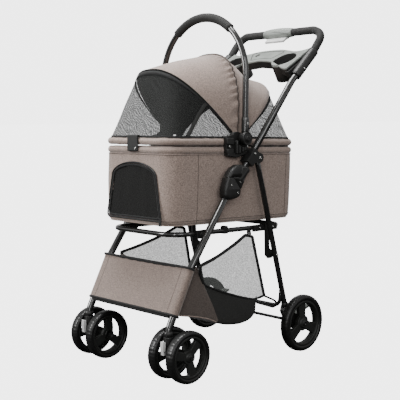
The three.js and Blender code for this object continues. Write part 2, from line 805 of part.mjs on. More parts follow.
function canopyRow(pointAt) {
  const row = [];
  for (let i = 0; i <= CANOPY_COLUMNS; i += 1) {
    row.push(pointAt(FOOT_TURN + (Math.PI - 2 * FOOT_TURN) * i / CANOPY_COLUMNS, i / CANOPY_COLUMNS));
  }
  return row;
}

function canopy() {
  const bows = Object.values(BOWS);
  const rows = (inset) => bows.map((spec) => canopyRow((turn) => bowPoint(spec, turn, inset)));
  return sheet(rows(FABRIC), rows(0));
}

// Half of the upper rim as a polyline, from its left side around one end to its right side.
function rimHalfPath(direction, startY) {
  const end = direction < 0 ? RIM.front : RIM.rear;
  const corner = RIM.corner;
  const path = new THREE.CurvePath();
  const z = UPPER_RIM_Z + RIM.radius + 0.8;
  const sideEnd = end - direction * corner;
  path.add(new THREE.LineCurve3(vec(RIM.half, startY, z), vec(RIM.half, sideEnd, z)));
  path.add(new THREE.QuadraticBezierCurve3(
    vec(RIM.half, sideEnd, z), vec(RIM.half, end, z), vec(RIM.half - corner, end, z)));
  path.add(new THREE.LineCurve3(vec(RIM.half - corner, end, z), vec(-RIM.half + corner, end, z)));
  path.add(new THREE.QuadraticBezierCurve3(
    vec(-RIM.half + corner, end, z), vec(-RIM.half, end, z), vec(-RIM.half, sideEnd, z)));
  path.add(new THREE.LineCurve3(vec(-RIM.half, sideEnd, z), vec(-RIM.half, startY, z)));
  return path;
}

// See-through mesh stretched from a bow down to its half of the rim.
function canopyMesh(spec, direction) {
  const path = rimHalfPath(direction, spec.pivotY + direction * 16);
  const lean = direction * -0.02;
  const top = (inset) => canopyRow((turn) => bowPoint(spec, turn, inset, lean));
  const bottom = (inset) => canopyRow((turn, share) => {
    const point = path.getPointAt(share);
    point.x *= 1 - inset / RIM.half;
    point.y -= direction * inset;
    return point;
  });
  const outer = direction < 0 ? [bottom(0), top(0)] : [top(0), bottom(0)];
  const inner = direction < 0 ? [bottom(2), top(2)] : [top(2), bottom(2)];
  return sheet(inner, outer);
}

// ---------------------------------------------------------------- arch handle over the carrier

function archPath(fromShare = 0, toShare = 1) {
  const springing = ARCH_TOP - ARCH_X;
  const points = [];
  const steps = 24;
  for (let i = 0; i <= steps; i += 1) {
    const share = fromShare + (toShare - fromShare) * i / steps;
    const angle = Math.PI * share;
    points.push(vec(ARCH_X * Math.cos(angle), ARCH_PIVOT[0], springing + ARCH_X * Math.sin(angle)));
  }
  return points;
}

function archBar(grow = 0) {
  const [y, z] = ARCH_PIVOT;
  const foot = z + 4;
  const springing = z + 95;
  const points = [
    vec(ARCH_X, y, foot), vec(ARCH_X, y, springing), ...archPath(),
    vec(-ARCH_X, y, springing), vec(-ARCH_X, y, foot),
  ];
  return tube(new THREE.CatmullRomCurve3(points, false, 'centripetal'), ARCH_TUBE + grow, 30, 8);
}

function archHandle() {
  const hubs = SIDES.map(([, side]) => cylinderX(20, side * 178.6, side * 200, ARCH_PIVOT, 20));
  const pockets = SIDES.map(([, side]) => cylinderX(10, side * 191, side * 204, ARCH_PIVOT, 16));
  return cut(join(archBar(), ...hubs), ...pockets);
}

function archGrip() {
  const path = new THREE.CatmullRomCurve3(archPath(0.28, 0.72));
  return cut(tube(path, ARCH_GRIP, 9, 10), archBar(GAP));
}

function archButton(side) {
  return cylinderX(9.5, side * 196, side * 203.5, ARCH_PIVOT, 16);
}

// ---------------------------------------------------------------- assembly

const stroller = new THREE.Group();

const rear = new THREE.Group();
stroller.add(rear);
add(rear, 'rear_frame', rearFrame(), blackTube());
add(rear, 'rear_axle', cylinderX(AXLE_RADIUS, -236, 236, REAR_AXLE, 12), blackTube());

const upper = new THREE.Group();
stroller.add(upper);
add(upper, 'handle_tube', handleTube(), blackTube());
add(upper, 'release_housing', releaseHousing(), greyPlastic());
add(upper, 'release_trigger', releaseTrigger(), whitePlastic());
add(upper, 'tray_top', trayTop(), greyPlastic());
add(upper, 'tray_body', trayBody(), blackPlastic());
add(upper, 'tray_lid', trayLid(), greyPlastic());

const front = new THREE.Group();
stroller.add(front);
add(front, 'panel_bar_lower', panelBar(PANEL_BOTTOM_Z + 5), blackTube());
add(front, 'panel_bar_upper', panelBar(PANEL_TOP_Z - 5), blackTube());
add(front, 'front_panel', frontPanel(), linen());
add(front, 'basket', basket(), blackFabric());

const ring = new THREE.Group();
stroller.add(ring);
add(ring, 'seat_ring', seatRing(), blackTube());

const carrier = leaningGroup(CARRIER_CENTRE, CARRIER_TILT);
stroller.add(carrier);
add(carrier, 'carrier_tub', carrierTub(), linen());
add(carrier, 'door_flap', doorFlap(), blackFabric());
add(carrier, 'floor_mat', floorMat(), padding());
add(carrier, 'lower_rim', closedTube(rimLoop(LOWER_RIM_Z), RIM.radius, 40, 8), linen());
add(carrier, 'upper_rim', closedTube(rimLoop(UPPER_RIM_Z), RIM.radius, 40, 8), linen());
add(carrier, 'front_clip', frontClip(), blackPlastic());
add(carrier, 'canopy', canopy(), linen());
add(carrier, 'front_mesh', canopyMesh(BOWS.front, -1), mesh());
add(carrier, 'rear_mesh', canopyMesh(BOWS.rear, 1), mesh());
add(carrier, 'front_bow', bow(BOWS.front), blackTube());
add(carrier, 'rear_bow', bow(BOWS.rear), blackTube());
add(carrier, 'arch_handle', archHandle(), blackTube());
add(carrier, 'arch_grip', archGrip(), foam());

for (const [name, side] of SIDES) {
  add(rear, `rear_hub_${name}`, rearHub(side), blackPlastic());
  add(rear, `brake_pedal_${name}`, brakePedal(side), greyPlastic());
  add(rear, `rear_wheel_${name}`, wheel(REAR_WHEEL_RADIUS, side * REAR_WHEEL_X, REAR_AXLE, 1.66), rubber());

  add(upper, `foam_grip_${name}`, foamGrip(side), foam());
  add(upper, `upper_knuckle_${name}`, upperKnuckle(side), blackPlastic());
  add(upper, `frame_bracket_${name}`, frameBracket(side), blackPlastic());

  add(front, `front_leg_${name}`, frontLeg(side), blackTube());
  add(front, `lower_knuckle_${name}`, lowerKnuckle(side), blackPlastic());
  add(front, `caster_housing_${name}`, casterHousing(side), blackPlastic());
  add(front, `caster_fork_${name}`, casterFork(side), blackPlastic());
  add(front, `swivel_lock_${name}`, swivelLock(side), whitePlastic());
  for (const [place, offset] of [['outer', TWIN_OFFSET], ['inner', -TWIN_OFFSET]]) {
    const x = side * (FRAME_X + offset);
    const armAngle = (side > 0 ? 0.79 : 1.05) + (offset > 0 ? 0 : 0.41);
    const turning = wheel(FRONT_WHEEL_RADIUS, x, FRONT_AXLE, armAngle);
    add(front, `front_wheel_${name}_${place}`, turning, rubber());
  }

  add(ring, `ring_link_${name}`, ringLink(side), blackPlastic());
  add(ring, `ring_bracket_${name}`, ringBracket(side), blackPlastic());

  add(carrier, `side_block_${name}`, sideBlock(side), blackPlastic());
  add(carrier, `arch_button_${name}`, archButton(side), blackPlastic());
}

export default stroller;
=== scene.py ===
"""Folding pet stroller with a lift-off carrier: its looks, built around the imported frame.

Shapes are written in millimetres in the frame's axes (+Z up, the stroller rolls towards -Y), and
metres() turns them into Blender's units. "Left" is the pusher's left, +X. The carrier and what sits
on it are written upright, and leaned() tips them with the carrier.
"""

import json
import math
from contextlib import contextmanager

import bmesh
import bpy
import numpy as np
from mathutils import Matrix, Vector, noise


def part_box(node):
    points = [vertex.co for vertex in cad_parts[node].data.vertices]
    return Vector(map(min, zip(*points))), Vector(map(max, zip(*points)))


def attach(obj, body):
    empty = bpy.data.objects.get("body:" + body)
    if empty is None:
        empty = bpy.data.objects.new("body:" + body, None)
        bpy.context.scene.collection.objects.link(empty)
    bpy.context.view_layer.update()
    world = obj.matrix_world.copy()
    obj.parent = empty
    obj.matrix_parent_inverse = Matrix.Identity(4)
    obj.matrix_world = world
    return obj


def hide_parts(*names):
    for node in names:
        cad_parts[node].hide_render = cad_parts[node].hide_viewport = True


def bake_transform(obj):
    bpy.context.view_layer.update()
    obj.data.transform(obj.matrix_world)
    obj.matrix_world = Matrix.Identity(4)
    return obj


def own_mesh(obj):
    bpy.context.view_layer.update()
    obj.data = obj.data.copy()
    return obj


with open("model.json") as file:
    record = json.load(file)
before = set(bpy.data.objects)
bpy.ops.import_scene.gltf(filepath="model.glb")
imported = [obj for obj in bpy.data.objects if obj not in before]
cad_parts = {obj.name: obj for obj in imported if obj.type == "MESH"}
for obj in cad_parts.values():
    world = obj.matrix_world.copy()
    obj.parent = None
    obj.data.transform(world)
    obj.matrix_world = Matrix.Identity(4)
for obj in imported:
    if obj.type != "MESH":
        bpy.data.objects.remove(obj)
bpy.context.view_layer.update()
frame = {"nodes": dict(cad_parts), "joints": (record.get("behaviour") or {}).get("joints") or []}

MM = 0.001
JOINTS = {joint["name"]: joint for joint in frame["joints"]}
SIDES = (("left", 1), ("right", -1))


def node_middle(node):
    low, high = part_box(node)
    return np.array((low + high) / 2) / MM


def pivot(joint):
    return np.array(JOINTS[joint]["pos_m"]) / MM


# ------------------------------------------------------------------ driving dimensions, from the frame

FRAME_X = node_middle("front_leg_left")[0]
LEG_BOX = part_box("front_leg_left")
# CAD's tubes have ten sides, so their width is the circle's times this cosine
TUBE = (LEG_BOX[1].x - LEG_BOX[0].x) / MM / 2 / math.cos(math.pi / 10)
REAR_TUBE = 8.5
FOLD = pivot("front_fold")[1:]
REAR_TOP = pivot("fold")[1:]
LINK = pivot("ring_fold")[1:]
REAR_AXLE = pivot("rear_wheel_left")[1:]
STEM_Y = pivot("caster_swivel_left")[1]

HANDLE = [(-45, 562), (195, 856), (316, 968), (348, 1012)]
BAR = (345, 1024)
HOUSING_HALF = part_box("release_housing")[1].x / MM
TRAY = (245, 926)
TRAY_TILT = math.radians(30)
CUP_X, CUP_RADIUS, CUP_DEPTH = 112, 42, 58

RING = {"half": 150, "front": -268, "rear": 198, "corner": 60}
RING_RADIUS = 7.5
RIM = {"half": 154.5, "front": -282.5, "rear": 244.5, "corner": 52}
RIM_RADIUS = 10.5
LOWER_RIM, UPPER_RIM = 643.5, 668.5
LEAN = math.radians(-1.4)
LEAN_CENTRE = (-19, 545)

BOW_FOOT_Z, BOW_HALF, BOW_RADIUS = 684, 151, 3.5
BOWS = {
    "front": (-46, (-232, 880)),
    "middle": (-22, (8, 937)),
    "rear": (2, (211, 848)),
}
BOW_SWEEP = {"front": 27, "middle": 2, "rear": 4}
ARCH_X, ARCH_Y, ARCH_FOOT, ARCH_TOP = 187, -19, 679, 1051
ARCH_TUBE, ARCH_GRIP = 9.5, 13.5
NET_THICKNESS, CLOTH_THICKNESS = 0.5, 1.6


# ------------------------------------------------------------------ finishes

SOCKETS = {"specular_ior_level": "Specular IOR Level"}


class Finish:
    """A node material. Numbers that are the same all over sit on the shader's own sockets."""

    def __init__(self, name, slot, colour, roughness, **sockets):
        self.material = bpy.data.materials.new(name)
        self.material.use_nodes = True
        self.material["slot"] = slot
        self.tree = self.material.node_tree
        self.shader = self.tree.nodes["Principled BSDF"]
        self.shader.inputs["Base Color"].default_value = (*colour, 1)
        self.shader.inputs["Roughness"].default_value = roughness
        for socket, value in sockets.items():
            self.shader.inputs[SOCKETS.get(socket, socket.replace("_", " ").title())].default_value = value
        self.place = self.add("ShaderNodeTexCoord").outputs["Object"]

    def add(self, kind, **settings):
        node = self.tree.nodes.new(kind)
        for key, value in settings.items():
            setattr(node, key, value)
        return node

    def link(self, source, target):
        self.tree.links.new(source, target)

    def noise(self, scale, detail=2.0, stretch=(1, 1, 1)):
        """Noise of that many grains a metre, squeezed by stretch along each axis."""
        mapping = self.add("ShaderNodeMapping")
        mapping.inputs["Scale"].default_value = stretch
        self.link(self.place, mapping.inputs["Vector"])
        texture = self.add("ShaderNodeTexNoise")
        texture.inputs["Scale"].default_value = scale
        texture.inputs["Detail"].default_value = detail
        self.link(mapping.outputs["Vector"], texture.inputs["Vector"])
        return texture.outputs["Fac"]

    def math(self, operation, first, second):
        node = self.add("ShaderNodeMath", operation=operation)
        for socket, value in zip(node.inputs, (first, second)):
            if isinstance(value, (int, float)):
                socket.default_value = value
            else:
                self.link(value, socket)
        return node.outputs[0]

    def colour(self, factor, *stops):
        """Base colour from a ramp of (position, colour) stops."""
        node = self.add("ShaderNodeValToRGB")
        while len(node.color_ramp.elements) < len(stops):
            node.color_ramp.elements.new(0.5)
        for element, (position, colour) in zip(node.color_ramp.elements, stops):
            element.position = position
            element.color = (*colour, 1)
        self.link(factor, node.inputs["Fac"])
        self.link(node.outputs["Color"], self.shader.inputs["Base Color"])

    def span(self, factor, socket, **limits):
        """Drives a shader socket from low to high as factor runs over its own range."""
        node = self.add("ShaderNodeMapRange")
        for name, value in limits.items():
            node.inputs[name.replace("_", " ").title()].default_value = value
        self.link(factor, node.inputs["Value"])
        self.link(node.outputs["Result"], self.shader.inputs[socket])

    def roughness(self, factor, low, high):
        self.span(factor, "Roughness", to_min=low, to_max=high)

    def bump(self, factor, depth_mm, strength=0.6):
        node = self.add("ShaderNodeBump")
        node.inputs["Strength"].default_value = strength
        node.inputs["Distance"].default_value = depth_mm * MM
        self.link(factor, node.inputs["Height"])
        self.link(node.outputs["Normal"], self.shader.inputs["Normal"])


def shade(colour, factor):
    return tuple(min(1, channel * factor) for channel in colour)


def weave(finish):
    """Two crossed sets of threads with uneven dye, as one factor."""
    threads = finish.math("ADD", finish.noise(1000, 1, (1, 1, 0.14)), finish.noise(1000, 1, (0.14, 0.14, 1)))
    mottle = finish.noise(330, 2)
    return finish.math("ADD", finish.math("MULTIPLY", threads, 0.3), finish.math("MULTIPLY", mottle, 0.4))


def linen(name, colour, slot="brown_fabric"):
    finish = Finish(name, slot, colour, 0.92, sheen_weight=0.3, sheen_roughness=0.5, specular_ior_level=0.25)
    factor = weave(finish)
    finish.colour(factor, (0.38, shade(colour, 0.62)), (0.5, colour), (0.62, shade(colour, 1.42)))
    finish.bump(factor, 0.9)
    return finish.material


def black_cloth(name, slot, colour=(0.022, 0.022, 0.021), rib=(1, 1, 1)):
    finish = Finish(name, slot, colour, 0.85, sheen_weight=0.06, sheen_roughness=0.4, specular_ior_level=0.2)
    factor = finish.noise(900, 2, rib)
    finish.colour(factor, (0.35, shade(colour, 0.6)), (0.65, shade(colour, 1.7)))
    finish.bump(factor, 0.7)
    return finish.material


def see_through(name, colour, cover, spread, ripple=0.0):
    """Open mesh whose threads cover a share of the surface, with the wavy bands that layers of it show."""
    finish = Finish(name, "black_mesh", colour, 0.8, specular_ior_level=0.2)
    holes = finish.math("ADD", finish.noise(620, 0, (1, 1, 0.3)), finish.noise(620, 0, (0.3, 0.3, 1)))
    pattern = finish.math("MULTIPLY", holes, 0.5)
    if ripple:
        wave = finish.add("ShaderNodeTexWave", bands_direction="DIAGONAL")
        wave.inputs["Scale"].default_value = 56
        wave.inputs["Distortion"].default_value = 16
        wave.inputs["Detail"].default_value = 0
        wave.inputs["Detail Scale"].default_value = 0.45
        finish.link(finish.place, wave.inputs["Vector"])
        pattern = finish.math("ADD", pattern, finish.math("MULTIPLY", wave.outputs["Fac"], ripple))
    finish.span(pattern, "Alpha", from_min=0.3, from_max=0.7 + ripple, to_min=cover - spread,
                to_max=cover + spread)
    return finish.material


def gloss_paint():
    finish = Finish("gloss_paint", "gloss_black_tube", (0.010, 0.010, 0.010), 0.2,
                    coat_weight=0.6, coat_roughness=0.06)
    wear = finish.noise(60, 4)
    finish.colour(wear, (0.3, (0.007, 0.007, 0.007)), (0.75, (0.016, 0.016, 0.015)))
    finish.roughness(finish.noise(420, 3), 0.14, 0.3)
    finish.bump(finish.noise(260, 3), 0.03, 0.12)
    return finish.material


def moulded(name, slot, colour, rough, grain, coat=0.0):
    finish = Finish(name, slot, colour, rough, coat_weight=coat, coat_roughness=0.1, specular_ior_level=0.35)
    cloud = finish.noise(35, 4)
    finish.colour(cloud, (0.3, shade(colour, 0.82)), (0.7, shade(colour, 1.18)))
    finish.roughness(finish.noise(300, 3), rough * 0.8, min(1, rough * 1.25))
    finish.bump(finish.noise(1600, 2), grain, 0.5)
    return finish.material


def foam_rubber(name, colour):
    finish = Finish(name, "foam", colour, 0.8, sheen_weight=0.05, sheen_roughness=0.4,
                    specular_ior_level=0.3)
    cells = finish.add("ShaderNodeTexVoronoi")
    cells.inputs["Scale"].default_value = 1100
    finish.link(finish.place, cells.inputs["Vector"])
    finish.colour(finish.noise(500, 3), (0.3, shade(colour, 0.7)), (0.7, shade(colour, 1.4)))
    finish.bump(cells.outputs["Distance"], 0.5, 0.5)
    return finish.material


def bright_steel():
    finish = Finish("screw_steel", "gloss_black_tube", (0.32, 0.32, 0.31), 0.25, metallic=1.0)
    finish.roughness(finish.noise(900, 2), 0.15, 0.35)
    finish.bump(finish.noise(1500, 2), 0.05, 0.4)
    return finish.material


BROWN = (0.262, 0.202, 0.172)
LINEN = linen("brown_linen", BROWN)
# the front panel's linen is the same brown linen painted darker: painted shade
PANEL_LINEN_PAINTED_SHADE = linen("brown_linen_panel_painted_shade", shade(BROWN, 0.64))
# brown linen painted far darker, as painted shade for the basket's front part
LINEN_PAINTED_SHADE = linen("brown_linen_painted_shade", shade(BROWN, 0.3))
SEAM = linen("seam_thread", shade(BROWN, 0.32))
CLOTH = black_cloth("black_cloth", "black_mesh")
LINING = black_cloth("canopy_lining", "black_mesh", (0.013, 0.013, 0.012))
WEBBING = black_cloth("black_webbing", "black_mesh", (0.014, 0.014, 0.014), (1, 1, 0.2))
WINDOW = see_through("window_mesh", (0.024, 0.025, 0.024), 0.49, 0.17, 0.5)
BASKET_NET = see_through("basket_net", (0.11, 0.115, 0.11), 0.61, 0.10)
DOOR_NET = see_through("door_net", (0.008, 0.008, 0.0075), 0.93, 0.05)
PAINT = gloss_paint()
PLASTIC = moulded("black_plastic", "black_plastic", (0.012, 0.012, 0.0115), 0.42, 0.05)
WELL = moulded("well_plastic", "gloss_black_plastic", (0.030, 0.030, 0.029), 0.22, 0.03, 0.7)
GREY = moulded("grey_plastic", "grey_plastic", (0.20, 0.215, 0.20), 0.4, 0.05)
WHITE = moulded("white_plastic", "white_plastic", (0.56, 0.56, 0.55), 0.35, 0.05)
TYRE = moulded("tyre_rubber", "wheel_rubber", (0.008, 0.008, 0.0078), 0.34, 0.06)
WHEEL = moulded("wheel_plastic", "wheel_rubber", (0.012, 0.0125, 0.0115), 0.5, 0.05)
FOAM = foam_rubber("grip_foam", (0.016, 0.016, 0.0155))
MAT = linen("mat_cloth", (0.30, 0.27, 0.24), "mat_fabric")
STEEL = bright_steel()


# ------------------------------------------------------------------ mesh helpers

def metres(points):
    return np.asarray(points, float) * MM


def tipped(points, centre, angle):
    """Turns points about a line along X through centre, a (y, z)."""
    points = np.array(points, float)
    y, z = points[..., 1] - centre[0], points[..., 2] - centre[1]
    points[..., 1] = centre[0] + y * math.cos(angle) - z * math.sin(angle)
    points[..., 2] = centre[1] + y * math.sin(angle) + z * math.cos(angle)
    return points


def leaned(points):
    """Tips points of the upright carrier with the carrier."""
    return tipped(points, LEAN_CENTRE, LEAN)


# the bodies that lean with the carrier; None is cloth that rides on no body
LEANING = (None, "carrier", "door_flap", "front_bow", "rear_bow", "arch_handle", "arch_button_left",
           "arch_button_right")


def stand(points, body, place=None):
    """Puts drawn points where they belong: as place says, or as their body stands."""
    if place is None:
        return leaned(points) if body in LEANING else np.asarray(points, float)
    return place(points)


def unit(vectors):
    vectors = np.asarray(vectors, float)
    return vectors / np.linalg.norm(vectors, axis=-1, keepdims=True)


def distances(path):
    """The distance along a path to each of its points."""
    return np.concatenate([[0], np.cumsum(np.linalg.norm(np.diff(path, axis=0), axis=1))])


def table(point, firsts, seconds):
    """Rows of points, point(first, second)."""
    return np.array([[point(first, second) for second in seconds] for first in firsts])


def piece_from(name, points, faces, material, body, replaces):
    mesh = bpy.data.meshes.new(name)
    mesh.from_pydata(metres(points).tolist(), [], faces)
    mesh.materials.append(material)
    mesh.update()
    return piece_of_mesh(name, mesh, body, replaces)


def piece_of_mesh(name, mesh, body, replaces):
    """A new piece that rides on a body. Without a body, it is left unattached."""
    piece = bpy.data.objects.new(name, mesh)
    bpy.context.scene.collection.objects.link(piece)
    mesh.shade_smooth()
    if body:
        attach(piece, body)
    if replaces:
        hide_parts(*replaces)
    return piece


def grid_faces(rows, columns, wrap_rows, wrap_columns):
    faces = []
    for r in range(rows if wrap_rows else rows - 1):
        for c in range(columns if wrap_columns else columns - 1):
            a, b = r * columns + c, r * columns + (c + 1) % columns
            below = ((r + 1) % rows) * columns
            faces.append((a, b, below + (c + 1) % columns, below + c))
    return faces


def grid_piece(name, grid, material, body, wrap_columns=False, replaces=()):
    grid = np.asarray(grid, float)
    faces = grid_faces(*grid.shape[:2], False, wrap_columns)
    return piece_from(name, stand(grid, body).reshape(-1, 3), faces, material, body, replaces)


def skin(name, rings, closed, material, body, place, replaces):
    """Rings of points joined into a skin, with flat ends unless it closes on itself."""
    rows, columns = rings.shape[:2]
    faces = grid_faces(rows, columns, closed, True)
    if not closed:
        faces.append(tuple(range(columns)))
        faces.append(tuple(range(rows * columns - 1, (rows - 1) * columns - 1, -1)))
    return piece_from(name, stand(rings, body, place).reshape(-1, 3), faces, material, body, replaces)


def thicken(piece, millimetres, offset=0.0, inner=None):
    """Gives a sheet its thickness. inner is the cloth of its inner face and edges."""
    solid = piece.modifiers.new("thickness", "SOLIDIFY")
    solid.thickness = millimetres * MM
    solid.offset = offset
    if inner is not None:
        piece.data.materials.append(inner)
        solid.material_offset = 1
        solid.material_offset_rim = 1
    return piece


def smooth_curve(points, steps):
    """Points along a Catmull-Rom curve through the given points."""
    points = np.asarray(points, float)
    padded = np.vstack([2 * points[0] - points[1], points, 2 * points[-1] - points[-2]])
    found = []
    for i in range(len(points) - 1):
        a, b, c, d = padded[i:i + 4]
        for t in np.linspace(0, 1, steps, endpoint=False):
            found.append(0.5 * (2 * b + (c - a) * t + (2 * a - 5 * b + 4 * c - d) * t ** 2
                                + (3 * b - a - 3 * c + d) * t ** 3))
    return np.vstack([found, points[-1]])


def evenly(points, count):
    """The same line with points at even distances."""
    points = np.asarray(points, float)
    along = distances(points)
    at = np.linspace(0, along[-1], count)
    return np.stack([np.interp(at, along, points[:, k]) for k in range(points.shape[1])], axis=1)


def turn_at(enter, corner, leave, steps):
    """A soft turn from one point to another, pulled towards the corner."""
    return [(1 - t) ** 2 * enter + 2 * t * (1 - t) * corner + t ** 2 * leave
            for t in np.linspace(0, 1, steps)]


def bent(corners, bend, steps):
    """Straight runs joined by bends, as a tube bender makes them."""
    corners = [np.asarray(corner, float) for corner in corners]
    path = [corners[0]]
    for before, corner, after in zip(corners, corners[1:], corners[2:]):
        back, ahead = unit(before - corner), unit(after - corner)
        angle = math.pi - math.acos(float(np.clip(back @ ahead, -1, 1)))
        reach = bend * math.tan(angle / 2)
        path += turn_at(corner + back * reach, corner, corner + ahead * reach, steps)
    path.append(corners[-1])
    return np.array(path)


def carried(path, sections, closed):
    """Rings of points: each section, across and up, carried along the path without twisting."""
    path = np.asarray(path, float)
    if closed:
        tangents = np.roll(path, -1, axis=0) - np.roll(path, 1, axis=0)
    else:
        tangents = np.gradient(path, axis=0)
    tangents = unit(tangents)
    side = np.array([0.0, 0.0, 1.0]) if abs(tangents[0][2]) < 0.9 else np.array([0.0, 1.0, 0.0])
    rings = []
    for point, tangent, section in zip(path, tangents, sections):
        side = unit(side - tangent * (side @ tangent))
        up = np.cross(tangent, side)
        rings.append(point + section[:, :1] * side + section[:, 1:] * up)
    return np.array(rings)


def circle(radius, count):
    turn = np.arange(count) * 2 * math.pi / count
    return np.stack([radius * np.cos(turn), radius * np.sin(turn)], axis=1)


def tube(name, path, radius, material, body, sides, closed=False, place=None, replaces=(), lumps=0.0):
    """A round bar or sleeve along a path with softly rounded ends. lumps is how uneven its surface is."""
    path = np.asarray(path, float)
    lead = 0.0 if closed else min(radius * 0.12, 1.2)
    if not closed:
        first, last = unit(path[1] - path[0]), unit(path[-2] - path[-1])
        path = np.vstack([path[0], path[0] + first * lead, path[1:-1], path[-1] + last * lead, path[-1]])
    radii = np.full(len(path), float(radius))
    radii[[0, -1]] -= lead
    rings = carried(path, [circle(r, sides) for r in radii], closed)
    if lumps:
        push = [[noise.noise(Vector(p) * 0.045) + 0.5 * noise.noise(Vector(p) * 0.12) for p in ring]
                for ring in rings]
        rings = rings + (rings - path[:, None, :]) / radius * lumps * np.array(push)[:, :, None]
    return skin(name, rings, closed, material, body, place, replaces)


def lathe(name, profile, centre, axis, material, body, steps, place=None, replaces=(), ripple=None):
    """Turns a profile of (radius, along) about an axis through centre. ripple(turn, row) moves a radius."""
    axis = unit(axis)
    side = unit(np.cross(axis, [0.0, 0.0, 1.0])) if abs(axis[2]) < 0.9 else np.array([1.0, 0.0, 0.0])
    up = np.cross(axis, side)
    turn = np.arange(steps) * 2 * math.pi / steps
    rings = []
    for row, (radius, along) in enumerate(profile):
        radii = np.full(steps, float(radius))
        if ripple is not None:
            radii += ripple(turn, row)
        rings.append(np.asarray(centre) + axis * along + radii[:, None] * (
            np.cos(turn)[:, None] * side + np.sin(turn)[:, None] * up))
    closed = np.allclose(profile[0], profile[-1])
    if closed:
        rings = rings[:-1]
    return skin(name, np.array(rings), closed, material, body, place, replaces)


@contextmanager
def reshaped(piece):
    """Opens a piece's mesh for editing and writes it back."""
    shape = bmesh.new()
    shape.from_mesh(piece.data)
    yield shape
    shape.to_mesh(piece.data)
    shape.free()


def dress(node, material, edge):
    """Keeps a CAD node, with softened edges and a better finish."""
    piece = frame["nodes"][node]
    piece.data.materials.clear()
    piece.data.materials.append(material)
    if "custom_normal" in piece.data.attributes:
        piece.data.attributes.remove(piece.data.attributes["custom_normal"])
    piece.data.shade_smooth()
    weld = piece.modifiers.new("weld", "WELD")
    weld.merge_threshold = 0.02 * MM
    bevel = piece.modifiers.new("edges", "BEVEL")
    bevel.width = edge * MM
    bevel.segments = 3
    bevel.limit_method = "ANGLE"
    bevel.angle_limit = math.radians(34)
    bevel.harden_normals = True
    return piece


def side_on(x, y=0, z=0):
    """Where a plate goes whose outline is drawn in (y, z) around this point."""
    turned = Matrix(((0, 0, 1, 0), (1, 0, 0, 0), (0, 1, 0, 0), (0, 0, 0, 1)))
    return Matrix.Translation(Vector((x, y, z)) * MM) @ turned


def plate(name, loops, half, material, body, matrix, edge, replaces=()):
    """A flat plate with rounded edges: the first loop is its outline and the others are its holes."""
    curve = bpy.data.curves.new(name, "CURVE")
    curve.dimensions = "2D"
    curve.fill_mode = "BOTH"
    curve.extrude = (half - edge) * MM
    curve.bevel_depth = edge * MM
    curve.bevel_resolution = 2
    curve.offset = -edge * MM
    for loop in loops:
        spline = curve.splines.new("POLY")
        spline.points.add(len(loop) - 1)
        for point, (across, up) in zip(spline.points, metres(loop)):
            point.co = (across, up, 0, 1)
        spline.use_cyclic_u = True
    holder = bpy.data.objects.new(name + "_outline", curve)
    mesh = bpy.data.meshes.new_from_object(holder)
    bpy.data.objects.remove(holder)
    mesh.transform(matrix)
    mesh.materials.clear()
    mesh.materials.append(material)
    piece = piece_of_mesh(name, mesh, body, replaces)
    mesh.set_sharp_from_angle(angle=math.radians(40))
    return piece


def rounded_outline(points, radius, steps=6):
    """A closed outline with its corners rounded."""
    points = [np.asarray(p, float) for p in points]
    found = []
    for before, corner, after in zip(points[-1:] + points[:-1], points, points[1:] + points[:1]):
        back, ahead = before - corner, after - corner
        reach = min(radius, np.linalg.norm(back) * 0.45, np.linalg.norm(ahead) * 0.45)
        found += turn_at(corner + unit(back) * reach, corner, corner + unit(ahead) * reach, steps)
    return np.array(found)


def rounded_loop(half, front, rear, corner, z, side=70, end=64, turn=12):
    """A level rounded rectangle, anticlockwise from the rear left corner, with even points on each run."""
    centres = [(half - corner, rear - corner), (corner - half, rear - corner),
               (corner - half, front + corner), (half - corner, front + corner)]

    def on_corner(k, quarter):
        angle = quarter * math.pi / 2
        return np.array(centres[k % 4]) + [corner * math.cos(angle), corner * math.sin(angle)]

    points = []
    for k in range(4):
        points += [on_corner(k, k + i / turn) for i in range(turn)]
        here, there = on_corner(k, k + 1), on_corner(k + 1, (k + 1) % 4)
        count = side if k % 2 else end
        points += [here + (there - here) * i / count for i in range(count)]
    return np.array([(x, y, z) for x, y in points])


def strip(name, path, normals, width, material, body, lift=0.8):
    """A flat band along a path, width across, lifted off the surface whose normals are given."""
    path, normals = np.asarray(path, float), np.asarray(normals, float)
    across = unit(np.cross(np.gradient(path, axis=0), normals))
    rows = []
    for share in np.linspace(-0.5, 0.5, 7):
        crown = lift * (1 - (2 * share) ** 4) + 0.1
        rows.append(path + across * share * width + normals * crown)
    return thicken(grid_piece(name, rows, material, body), 0.9)


def screw(name, centre, side, body, radius):
    """A pan-head screw with a recess, its head facing out along X."""
    profile = [(1, 0), (1, 0.8), (0.93, 1.6), (0.7, 2.3), (0.42, 2.5), (0.38, 1.3), (0.05, 1.1)]
    profile = [(share * radius, along) for share, along in profile]
    return lathe(name, profile, centre, (side, 0, 0), STEEL, body, 24)


def frame_x(side, y, z):
    return (side * FRAME_X, y, z)


def declare_cut(rows):
    """Turns a sheet's rows of points into metres, and does nothing more with them."""
    rows = metres(rows)


# ------------------------------------------------------------------ camera, light and floor

BACKDROP, AMBIENT, FLOOR_GLOW = 5.1, 0.55, 4.25
CAMERA_PLACE = (1.9744, -1.8608, 0.7299)
CAMERA_AZIMUTH, CAMERA_PITCH, CAMERA_ROLL = 47.11, -5.20, -0.464
LENS = 77.4


def make_camera():
    data = bpy.data.cameras.new("camera")
    data.lens, data.sensor_width = LENS, 36
    camera = bpy.data.objects.new("camera", data)
    camera.matrix_world = Matrix.Translation(CAMERA_PLACE)
    for angle, axis in ((CAMERA_AZIMUTH, "Z"), (90 + CAMERA_PITCH, "X"), (CAMERA_ROLL, "Z")):
        camera.matrix_world = camera.matrix_world @ Matrix.Rotation(math.radians(angle), 4, axis)
    bpy.context.scene.collection.objects.link(camera)
    bpy.context.scene.camera = camera


